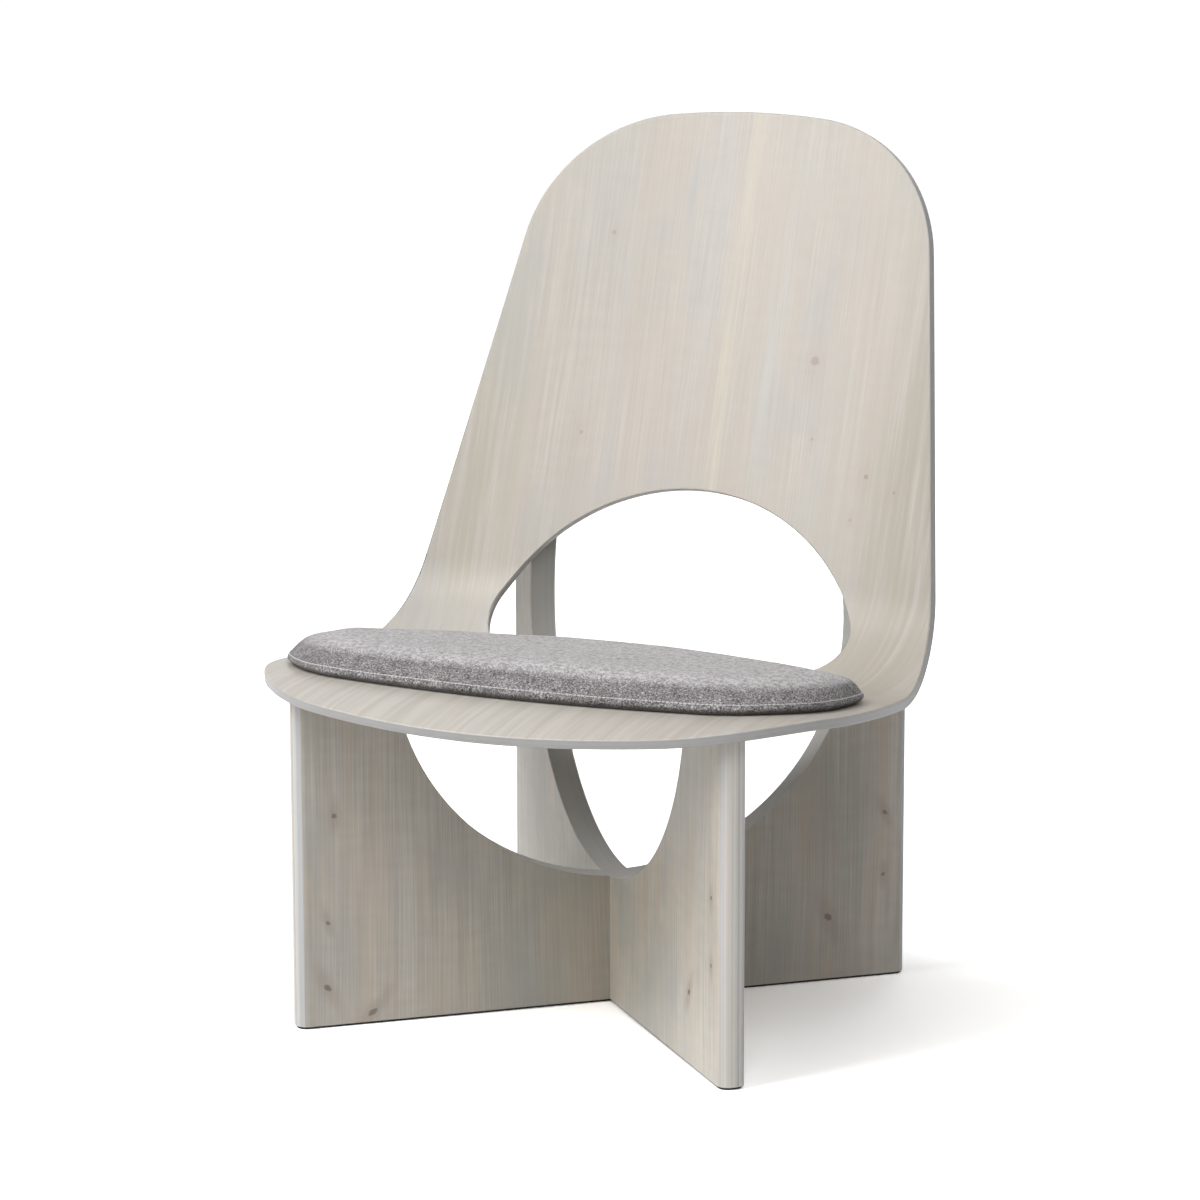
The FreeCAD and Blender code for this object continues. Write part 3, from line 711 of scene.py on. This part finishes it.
shellLook = {
    "grain": {"Light": (0.64, 0.596, 0.535), "Dark": (0.505, 0.465, 0.415),
              "Warm": (0.58, 0.51, 0.435), "Cool": (0.495, 0.49, 0.46)},
    "plies": {"Light": (0.57, 0.56, 0.55), "Dark": (0.45, 0.445, 0.44),
              "Warm": (0.53, 0.475, 0.42), "Cool": (0.47, 0.48, 0.50), "Plies": 7.0, "Lines": 0.35},
    "knotCore": (0.33, 0.22, 0.19),
    "knotHalo": (0.48, 0.40, 0.35),
    "faces": ((0.06, 0.10), (0.90, 0.94)),      # shares of the depth where face turns into edge
    "undersideShift": 1.3,
    "roughness": 0.4,
}


def shellMaterial():
    material, tree, surface = newMaterial("washedPineShell")
    across, along = separate(tree, uvMap(tree, "grain"))[:2]
    depth = separate(tree, uvMap(tree, "depth"))[0]
    underside = mathNode(tree, "GREATER_THAN", depth, 0.5)
    place = combine(tree, across, times(tree, underside, shellLook["undersideShift"]), along)
    # The grain is quieter on the seat's front
    strength = mapRange(tree, along, -0.28, -0.08, 0.5, 1.0)
    grain = useGroup(tree, washedGrain, Place=place, Strength=strength, **shellLook["grain"])
    # Stains, darker sides of the back, and painted highlights on the seat's front and on the bend
    face = withStainsAndHighlights(tree, grain["Color"], place, shellStainsAndHighlights)
    face = withKnots(tree, face, place, shellKnots, shellLook)
    edgePlace = combine(tree, across, depth, along)
    plies = useGroup(tree, plyStack, Place=edgePlace, Depth=depth, **shellLook["plies"])
    nearFace = nearEnds(tree, depth, *shellLook["faces"])
    colour = mixColour(tree, nearFace, plies["Color"], face)
    edgeHeight = times(tree, plies["Height"], minus(tree, 1.0, nearFace))
    height = plus(tree, times(tree, grain["Height"], nearFace), edgeHeight)
    dressWood(tree, surface, colour, height, grain["Streaks"], shellLook["roughness"])
    return material


mouldedShell = makeShell()
mouldedShell.data.materials.append(shellMaterial())
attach(mouldedShell, "chair")
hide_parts("seat_back_shell")
print("shell made,", len(mouldedShell.data.polygons), "faces")

# Crossed panels, whose shapes stay as they are, as do those of strips and dowels
# Knots: (from the crossing, negative to the front; above the floor; size; lean; depth)
# Tone scales each panel's wood colours: panel b's higher tone is painted light, for its better lit face
panels = {
    "cross_panel_a": {"turn": 45.0, "tone": 1.02, "sheet": 2.3, "knots": [
        (-0.2960, 0.2126, 0.0030, 0.0, 1.0),
        (-0.3036, 0.1060, 0.0026, 0.3, 1.0),
        (-0.3045, 0.0405, 0.0042, 0.5, 1.0),
        (-0.2593, 0.0119, 0.0044, -0.8, 1.0),
        (0.2815, 0.1716, 0.0030, 0.4, 1.0),
        (0.2800, 0.1069, 0.0024, 0.0, 1.0),
        (0.2202, 0.0669, 0.0045, 0.3, 1.0),
    ]},
    "cross_panel_b": {"turn": 135.0, "tone": 1.27, "sheet": 6.3, "knots": [
        (-0.3080, 0.1792, 0.0026, 0.0, 1.0),
        (-0.3085, 0.1141, 0.0026, 0.0, 1.0),
        (-0.2479, 0.0727, 0.0036, 0.4, 1.0),
        (0.2400, 0.2300, 0.0030, 0.0, 1.0),
    ]},
}
panelLook = {
    "grain": {"Light": (0.66, 0.62, 0.56), "Dark": (0.46, 0.43, 0.38),
              "Warm": (0.60, 0.51, 0.41), "Cool": (0.45, 0.455, 0.43)},
    "plies": {"Light": (0.93, 0.89, 0.83), "Dark": (0.62, 0.60, 0.57),
              "Warm": (0.74, 0.62, 0.53), "Cool": (0.62, 0.65, 0.68), "Plies": 13.0},
    "knotCore": (0.16, 0.12, 0.11),
    "knotHalo": (0.36, 0.29, 0.24),
    # Painted shade towards the crossing, under the seat
    "crossingShade": (0.76, 0.755, 0.70),
    # Painted shade on the arches' cut edges, under the seat
    "archShade": (0.22, 0.225, 0.205),
    "thickness": 0.027,
    "faces": ((0.03, 0.045), (0.955, 0.97)),
    "ends": (0.262, 0.272),      # from the crossing, where the rounded ends begin
    "otherSideShift": 1.9,
    "strength": 1.25,
    "roughness": 0.5,
}


def panelMaterial(name, panel):
    material, tree, surface = newMaterial(name)
    turned = tree.nodes.new("ShaderNodeVectorRotate")
    turned.rotation_type = "Z_AXIS"
    feedNamed(tree, turned, {"Vector": objectPlace(tree), "Angle": -math.radians(panel["turn"])})
    along, across, up = separate(tree, turned.outputs[0])
    fromCrossing = mathNode(tree, "ABSOLUTE", along)
    side = mathNode(tree, "GREATER_THAN", across, 0.0)
    sheet = plus(tree, times(tree, side, panelLook["otherSideShift"]), panel["sheet"])
    place = combine(tree, along, sheet, up)
    # Painted light: the wood colours are scaled by the panel's tone, much brighter on panel b
    litTones = {label: tuple(channel * panel["tone"] for channel in tone)
             for label, tone in panelLook["grain"].items()}
    grain = useGroup(tree, washedGrain, Place=place, Strength=panelLook["strength"], **litTones)
    # Painted shade: the colour darkens towards the crossing, under the seat
    inner = mapRange(tree, fromCrossing, 0.02, 0.24, 0.55, 0.0)
    shadedNearCrossing = mixColour(tree, inner, grain["Color"], panelLook["crossingShade"], "MULTIPLY")
    face = withKnots(tree, shadedNearCrossing, place, panel["knots"], panelLook)
    depth = plus(tree, mathNode(tree, "DIVIDE", across, panelLook["thickness"]), 0.5)
    # Ply lines show on the outer ends and hardly on the arches
    ends = mapRange(tree, fromCrossing, *panelLook["ends"])
    lines = mapRange(tree, ends, 0.0, 1.0, 0.2, 1.0)
    edgePlace = combine(tree, along, across, up)
    plies = useGroup(tree, plyStack, Place=edgePlace, Depth=depth, Lines=lines, **panelLook["plies"])
    # Painted shade: the arches' cut edges are darkened, as under the seat
    archShade = mixColour(tree, 0.55, plies["Color"], panelLook["archShade"])
    cut = mixColour(tree, ends, archShade, plies["Color"])
    nearFace = nearEnds(tree, depth, *panelLook["faces"])
    colour = mixColour(tree, nearFace, cut, face)
    edgeHeight = times(tree, plies["Height"], minus(tree, ends, nearFace))
    height = plus(tree, times(tree, grain["Height"], nearFace), edgeHeight)
    dressWood(tree, surface, colour, height, grain["Streaks"], panelLook["roughness"])
    return material


def useMaterial(node, material):
    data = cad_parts[node].data
    data.materials.clear()
    data.materials.append(material)


for node, panel in panels.items():
    useMaterial(node, panelMaterial("washedPine_" + node, panel))


stripLook = {"rubber": (0.018, 0.018, 0.018), "dusty": (0.05, 0.048, 0.045)}


def stripMaterial():
    material, tree, surface = newMaterial("floorStripRubber")
    source = objectPlace(tree)
    speck = noiseNode(tree, source, 900.0, 3.0, 0.6)
    dust = noiseNode(tree, source, 30.0, 3.0, 0.6)
    dustiness = mapRange(tree, dust, 0.4, 0.8, 0.0, 0.5)
    colour = mixColour(tree, dustiness, stripLook["rubber"], stripLook["dusty"])
    roughness = spread(tree, speck, 0.7, 0.9)
    dress(tree, surface, colour, roughness, bumpNode(tree, speck, 0.3, 0.0003))
    return material


floorRubber = stripMaterial()
for node in ("floor_strip_long", "floor_strip_front", "floor_strip_rear"):
    useMaterial(node, floorRubber)


dowelLook = {
    "grain": {"Light": (0.72, 0.58, 0.40), "Dark": (0.58, 0.43, 0.27),
              "Warm": (0.68, 0.5, 0.32), "Cool": (0.62, 0.5, 0.36)},
    "roughness": 0.55,
}


def dowelMaterial():
    material, tree, surface = newMaterial("beechDowel")
    grain = useGroup(tree, washedGrain, Place=objectPlace(tree), Strength=1.0, **dowelLook["grain"])
    dressWood(tree, surface, grain["Color"], grain["Height"], grain["Streaks"], dowelLook["roughness"])
    return material


beech = dowelMaterial()
for node in ("seat_dowels", "back_dowels"):
    useMaterial(node, beech)
print("panels, strips and dowels finished")

# Seat pad
pad = {
    "front": 0.272,          # from the bend forward to the front edge
    "depth": 0.277,
    "halfWidth": 0.2948,
    "shift": -0.0065,
    "frontRadius": 1.25,
    "frontCorner": 0.118,
    "rearCorner": 0.046,
    "rearRadius": 0.560,
    "lipHeight": 0.0062,     # where the pad is widest
    "seamHeight": 0.0098,
    "creaseHeight": 0.0262,
    "height": 0.0282,
    "clearance": 0.0006,
    "frontBevel": 0.027,
    "rearBevel": 0.008,
    "sideBevel": 0.010,
    "tuck": 0.0068,
    "waver": 0.0005,         # how far the seam strays
    "waverReach": 0.006,
    "waverScale": 16,
    "waverSeed": 3,          # without it the seam would stray differently each time
    "voxel": 0.006,
    "pressure": 4.0,
    "clothMass": 0.3,
    "clothQuality": 5,
    "frames": 20,
    "heldBelow": 0.3,        # faces turned up less than this stay put
    "swellLimit": 0.0022,
    "neighbours": 40,
    "blur": 0.008,
    "stitch": 0.0042,
    "threadRadius": 0.0006,
    "threadSides": 6,
    "stitchShape": (         # (share of the stitch's length, thickness, height), the last two in radii
        (0.06, 0.45, 0.2),
        (0.25, 0.95, 1.0),
        (0.5, 1.1, 1.0),
        (0.75, 0.95, 1.0),
        (0.94, 0.45, 0.2),
    ),
}
# The pad's rows, from the middle of the underside round the lip to the middle of the crown
padRows = {
    "under": (0.985, 0.85, 0.7, 0.55, 0.4, 0.25, 0.12, 0.04, 0.0),     # share of the way to the middle
    "lip": ((0.8, 0.10), (0.55, 0.28), (0.32, 0.46), (0.2, 0.6), (0.06, 0.78), (0.0, 1.0), (0.04, 1.3)),
    "aboveLip": (0.0011, -0.0005),      # inset and height from the seam, as in the next two
    "seam": (0.0022, 0.0),
    "aboveSeam": (0.0019, 0.0007),
    "bevelStart": 0.0016,
    "bevel": (0.07, 0.14, 0.22, 0.32, 0.42, 0.52),      # share of the way from the seam to the crease
    "creaseFrom": 0.6,
    "creaseTo": 0.09,
    "creaseSteps": 10,
    "crown": (0.14, 0.2, 0.28, 0.38, 0.5, 0.62, 0.75, 0.88, 0.985),
}


def padRow(insets, count=64):
    # The right half's outline drawn in by (front, rear, side), then its mirror image, as flat points
    frontInset, rearInset, sideInset = insets
    front = frontInset - pad["front"]
    depth = pad["depth"] - frontInset - rearInset
    halfWidth = pad["halfWidth"] - sideInset
    scale = max(depth / pad["depth"], 1e-3)
    halves = []
    for edge, end, name in ((front, -1, "front"), (front + depth, 1, "rear")):
        radius = pad[name + "Radius"] * scale
        corner = pad[name + "Corner"] * scale
        centre = (0, edge - end * radius)
        cornerX = halfWidth - corner
        cornerY = centre[1] + end * math.sqrt((radius - corner) ** 2 - cornerX ** 2)
        outward = unitTo(centre, (cornerX, cornerY))
        points = arcPoints(centre, radius, (0, end), outward, count)
        points += arcPoints((cornerX, cornerY), corner, outward, (1, 0), count // 2)
        halves.append(points + [(halfWidth, cornerY)])
    frontHalf, rearHalf = halves
    right = frontHalf + linePoints(frontHalf[-1], rearHalf[-1], 20)[1:] + rearHalf[::-1]
    left = [(-x, y) for x, y in right[-2:0:-1]]
    return right + left


def rounded(t, start, corner, end):
    return (1 - t) ** 2 * start + 2 * t * (1 - t) * corner + t ** 2 * end


def padProfile():
    bevels = (pad["frontBevel"], pad["rearBevel"], pad["sideBevel"])
    middles = (pad["depth"] * 0.5, pad["depth"] * 0.5, pad["halfWidth"])
    tuck, lip, seam = pad["tuck"], pad["lipHeight"], pad["seamHeight"]
    crease, top = pad["creaseHeight"], pad["height"]
    start = padRows["bevelStart"]
    rows = []
    for share in padRows["under"]:
        rows.append(([tuck + share * (middle - tuck) for middle in middles], 0.0))
    for inset, height in padRows["lip"]:
        rows.append(([tuck * inset] * 3, lip * height))
    seamRow = len(rows) + 1
    for name in ("aboveLip", "seam", "aboveSeam"):
        inset, height = padRows[name]
        rows.append(([inset] * 3, seam + height))
    for share in padRows["bevel"]:
        # The bevel bulges a little
        inward = share - 0.05 * math.sin(math.pi * share)
        insets = [start + inward * (bevel - start) for bevel in bevels]
        rows.append((insets, seam + (crease - seam) * share))

    def crownRow(share):
        insets = [bevel + share * (middle - bevel) for bevel, middle in zip(bevels, middles)]
        return insets, crease + (top - crease) * (1 - (1 - share) ** 2)

    # The crease is rounded from the upper bevel over to the crown
    low = padRows["creaseFrom"]
    lowInsets = [start + low * (bevel - start) for bevel in bevels]
    highInsets, highLevel = crownRow(padRows["creaseTo"])
    for step in range(padRows["creaseSteps"] + 1):
        t = step / padRows["creaseSteps"]
        insets = [rounded(t, *stops) for stops in zip(lowInsets, bevels, highInsets)]
        rows.append((insets, rounded(t, seam + (crease - seam) * low, crease, highLevel)))
    return rows + [crownRow(share) for share in padRows["crown"]], seamRow


def seatLevel(back):
    # Height of the seat's rolled front, below its flat part, at a distance behind the bend's start
    start = -shell["rollStart"]
    if back >= start:
        return 0.0
    return math.sqrt(shell["rollRadius"] ** 2 - (start - back) ** 2) - shell["rollRadius"]


def onPad(x, back, height):
    share = max(0.0, 1 - height / pad["creaseHeight"])
    level = height + pad["clearance"] + seatLevel(back) * share
    return seatEnd + sideways * (x + pad["shift"]) + seatBack * back + seatUp * level


def waver(point, height):
    # Sewn felt strays a little near its seam
    near = max(0.0, 1 - abs(height - pad["seamHeight"]) / pad["waverReach"])
    return noise.noise_vector(point * pad["waverScale"]) * (pad["waver"] * near)


def makePad():
    vertices, layout, faces, starts = [], [], [], []
    profile, seamRow = padProfile()
    noise.seed_set(pad["waverSeed"])
    for insets, height in profile:
        starts.append(len(vertices))
        row = padRow(insets)
        count = len(row)
        for x, back in row:
            point = onPad(x, back, height)
            vertices.append(point + waver(point, height))
            layout.append(height)
    for first, second in zip(starts, starts[1:]):
        faces += joinRows(first, second, count)
    faces.append(tuple(range(starts[0], starts[0] + count))[::-1])
    faces.append(tuple(range(starts[-1], starts[-1] + count)))
    mesh = newMesh("seatPad", vertices, faces)
    heights = mesh.uv_layers.new(name="height")
    for loop in mesh.loops:
        heights.data[loop.index].uv = (layout[loop.vertex_index] / pad["height"], 0)
    return addObject("feltPad", mesh), range(starts[seamRow], starts[seamRow] + count)


def evaluated(item):
    return bpy.data.meshes.new_from_object(item.evaluated_get(bpy.context.evaluated_depsgraph_get()))


def swell(item):
    # A copy in even faces is blown up as cloth with its underside held, and the pad follows its movement
    body = addObject("padFilling", item.data.copy())
    even = body.modifiers.new("evenFaces", "REMESH")
    even.mode = "VOXEL"
    even.voxel_size = pad["voxel"]
    mesh = evaluated(body)
    body.modifiers.remove(even)
    body.data = mesh
    before = [vertex.co.copy() for vertex in mesh.vertices]
    held = body.vertex_groups.new(name="held")
    underside = [vertex.index for vertex in mesh.vertices if vertex.normal.dot(seatUp) < pad["heldBelow"]]
    held.add(underside, 1.0, "REPLACE")
    cloth = body.modifiers.new("puff", "CLOTH")
    cloth.settings.quality = pad["clothQuality"]
    cloth.settings.mass = pad["clothMass"]
    cloth.settings.use_pressure = True
    cloth.settings.uniform_pressure_force = pad["pressure"]
    cloth.settings.effector_weights.gravity = 0
    cloth.settings.vertex_group_mass = "held"
    cloth.collision_settings.use_collision = False
    for step in range(pad["frames"]):
        scene.frame_set(step + 1)
    after = evaluated(body)
    tree = KDTree(len(before))
    for index, place in enumerate(before):
        tree.insert(place, index)
    tree.balance()
    for vertex in item.data.vertices:
        move, weights = Vector(), 0.0
        for place, index, distance in tree.find_n(vertex.co, pad["neighbours"]):
            weight = 1 / (distance + pad["blur"])
            move += (after.vertices[index].co - before[index]) * weight
            weights += weight
        move /= weights
        limit = pad["swellLimit"]
        vertex.co += move * (limit * (1 - math.exp(-move.length / limit)) / max(move.length, 1e-9))
    scene.frame_set(1)
    bpy.data.objects.remove(body)


feltLook = {
    "fibres": ((0.05, 0.044, 0.046), (0.268, 0.246, 0.252), (0.86, 0.835, 0.845)),    # dark to light
    # The pale colour the top is lightened towards: painted light
    "paintedTopLight": (0.95, 0.925, 0.935),
    "shine": {"Sheen Weight": 0.4, "Sheen Roughness": 0.4, "Specular IOR Level": 0.15},
}


def feltMaterial():
    material, tree, surface = newMaterial("melangeFelt")
    source = objectPlace(tree)
    coarse = noiseNode(tree, source, 560.0, 3.0, 0.8, 0.8)
    fine = noiseNode(tree, source, 1300.0, 2.0, 0.7, 1.0)
    cloud = noiseNode(tree, source, 60.0, 3.0, 0.6)
    mixed = plus(tree, times(tree, coarse, 0.62), times(tree, fine, 0.38))
    mixed = plus(tree, mixed, times(tree, minus(tree, cloud, 0.5), 0.10))
    blotch = noiseNode(tree, source, 210.0, 2.0, 0.7, 0.5)
    height = separate(tree, uvMap(tree, "height"))[0]
    # Painted light: the top of the pad is lightened, as if lit from above, both by the specks' lift and by
    # the mix towards a pale colour
    top = mapRange(tree, height, 0.72, 0.93)
    topSpecksAndLight = times(tree, minus(tree, blotch, 0.39), 2.6)
    fibres = mapRange(tree, mixed, 0.405, 0.605)
    tone = plus(tree, fibres, times(tree, top, topSpecksAndLight))
    ramp = tree.nodes.new("ShaderNodeValToRGB")
    stops = ramp.color_ramp.elements
    stops.new(0.5)
    for stop, colour in zip(stops, feltLook["fibres"]):
        stop.color = (*colour, 1)
    put(tree, tone, ramp.inputs[0])
    paintedTopLight = mixColour(tree, times(tree, top, 0.34), ramp.outputs[0], feltLook["paintedTopLight"])
    # Painted shade, partly the base cover's darker felt: low on the lip and underside the colour darkens
    # towards black
    under = mapRange(tree, height, 0.1, 0.24, 0.25, 1.0)
    shaded = mixColour(tree, under, (0, 0, 0), paintedTopLight)
    roughness = spread(tree, fine, 0.85, 1.0)
    dress(tree, surface, shaded, roughness, bumpNode(tree, mixed, 0.8, 0.0014))
    feedNamed(tree, surface, feltLook["shine"])
    return material


def makeStitches(item, seam):
    # Short stitches laid end to end in the seam's groove
    row = [item.data.vertices[index].co.copy() for index in seam]
    row.append(row[0])
    lengths = [0.0]
    for first, second in zip(row, row[1:]):
        lengths.append(lengths[-1] + (second - first).length)
    number = round(lengths[-1] / pad["stitch"])
    middle = Vector((pad["shift"], 0, 0)) + seatEnd - seatBack * (pad["front"] - pad["depth"] / 2)
    radius, sides = pad["threadRadius"], pad["threadSides"]

    def along(distance):
        distance %= lengths[-1]
        index = bisect.bisect_right(lengths, distance) - 1
        share = (distance - lengths[index]) / (lengths[index + 1] - lengths[index])
        return row[index].lerp(row[index + 1], share)

    vertices, faces = [], []
    for stitch in range(number):
        start = stitch * lengths[-1] / number
        rings = []
        for share, thickness, height in pad["stitchShape"]:
            rings.append(len(vertices))
            centre = along(start + share * pad["stitch"])
            ahead = (along(start + share * pad["stitch"] + 0.001) - centre).normalized()
            out = -(centre - middle).cross(ahead).cross(ahead).normalized()
            lift = ahead.cross(out)
            centre = centre + out * radius * height
            for side in range(sides):
                angle = 2 * math.pi * side / sides
                offset = out * math.cos(angle) + lift * math.sin(angle)
                vertices.append(centre + offset * radius * thickness)
        for first, second in zip(rings, rings[1:]):
            faces += joinRows(first, second, sides)
        faces.append(tuple(range(rings[0], rings[0] + sides))[::-1])
        faces.append(tuple(range(rings[-1], rings[-1] + sides)))
    return addObject("padStitches", newMesh("padStitches", vertices, faces))


threadLook = {"dark": (0.66, 0.64, 0.65), "light": (0.9, 0.88, 0.89), "shine": {"Sheen Weight": 0.2}}


def threadMaterial():
    material, tree, surface = newMaterial("greyThread")
    twist = noiseNode(tree, objectPlace(tree), 1500.0, 2.0)
    colour = mixColour(tree, twist, threadLook["dark"], threadLook["light"])
    roughness = spread(tree, twist, 0.6, 0.8)
    dress(tree, surface, colour, roughness, bumpNode(tree, twist, 0.5, 0.0003))
    feedNamed(tree, surface, threadLook["shine"])
    return material


feltPad, padSeam = makePad()
swell(feltPad)
stitches = makeStitches(feltPad, padSeam)
feltPad.data.materials.append(feltMaterial())
stitches.data.materials.append(threadMaterial())
for piece in (feltPad, stitches):
    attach(piece, "seat_pad")
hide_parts("pad_cover_top", "pad_cover_base", "pad_foam_core")
print("pad made,", len(feltPad.data.polygons), "faces")

# Pale floor, soft lamps and a faint even sky
studio = {
    "floorHalf": 40.0,
    "floorDrop": 0.0002,
    "lampSize": 2.2,
    "lampAim": (0, 0, 0.4),
    "lamps": {
        "highLeftLamp": {"place": (-1.8, -2.4, 3.8), "power": 100.0},
        "highRightLamp": {"place": (1.8, -2.4, 3.8), "power": 56.0},
        "lowLeftLamp": {"place": (-2.2, -3.4, 2.2), "power": 44.0},
        "lowRightLamp": {"place": (2.6, -3.2, 2.2), "power": 18.0},
        "rearLamp": {"place": (-0.6, 3.4, 2.8), "power": 20.0},
    },
    "sky": 0.02,
    "floorTone": 0.6,        # what the floor throws back on the chair
    "floorWhite": 1.75,      # what the camera sees of it, and the glow it adds
    "glow": ((0.20, 0.06), (0.46, 0.44), (0.74, 0.62), (2.6, 1.0)),  # (distance from the chair, strength)
}


def cameraRay(tree):
    path = tree.nodes.new("ShaderNodeLightPath")
    seen = mathNode(tree, "MAXIMUM", path.outputs["Is Camera Ray"], path.outputs["Is Glossy Ray"])
    return mathNode(tree, "MAXIMUM", seen, path.outputs["Is Transmission Ray"])


def makeFloor():
    half = studio["floorHalf"]
    corners = [(-half, -half, 0), (half, -half, 0), (half, half, 0), (-half, half, 0)]
    mesh = newMesh("floor", corners, [(0, 1, 2, 3)])
    item = addObject("floor", mesh)
    item.location.z = -studio["floorDrop"]
    material, tree, surface = newMaterial("paleFloor")
    tree.nodes.remove(surface)
    matt = tree.nodes.new("ShaderNodeBsdfDiffuse")
    glow = tree.nodes.new("ShaderNodeEmission")
    both = tree.nodes.new("ShaderNodeAddShader")
    seen = cameraRay(tree)
    place = objectPlace(tree)
    tone = studio["floorTone"]
    plain = mixColour(tree, noiseNode(tree, place, 40.0), (tone - 0.01,) * 3, (tone + 0.01,) * 3)
    put(tree, mixColour(tree, seen, plain, (studio["floorWhite"],) * 3), matt.inputs["Color"])
    distance = tree.nodes.new("ShaderNodeVectorMath")
    distance.operation = "LENGTH"
    put(tree, place, distance.inputs[0])
    rise = studio["glow"][0][1]
    for (near, low), (far, high) in zip(studio["glow"], studio["glow"][1:]):
        step = mapRange(tree, distance.outputs["Value"], near, far, 0.0, high - low, smooth=True)
        rise = plus(tree, rise, step)
    put(tree, times(tree, seen, rise), glow.inputs["Strength"])
    feed(tree, both, (matt.outputs[0], glow.outputs[0]))
    put(tree, both.outputs[0], tree.nodes["Material Output"].inputs["Surface"])
    mesh.materials.append(material)


def makeLamp(name, lamp):
    data = bpy.data.lights.new(name, "AREA")
    data.shape = "DISK"
    data.size = studio["lampSize"]
    data.energy = lamp["power"]
    item = addObject(name, data)
    direction = Vector(studio["lampAim"]) - Vector(lamp["place"])
    item.location = lamp["place"]
    item.rotation_euler = direction.to_track_quat("-Z", "Y").to_euler()


def makeSky():
    world = bpy.data.worlds.new("sky")
    world.use_nodes = True
    tree = world.node_tree
    strength = mapRange(tree, cameraRay(tree), 0.0, 1.0, studio["sky"], 1.0)
    feedNamed(tree, tree.nodes["Background"], {"Color": (1, 1, 1), "Strength": strength})
    scene.world = world


makeFloor()
for name, lamp in studio["lamps"].items():
    makeLamp(name, lamp)
makeSky()
print("studio set")
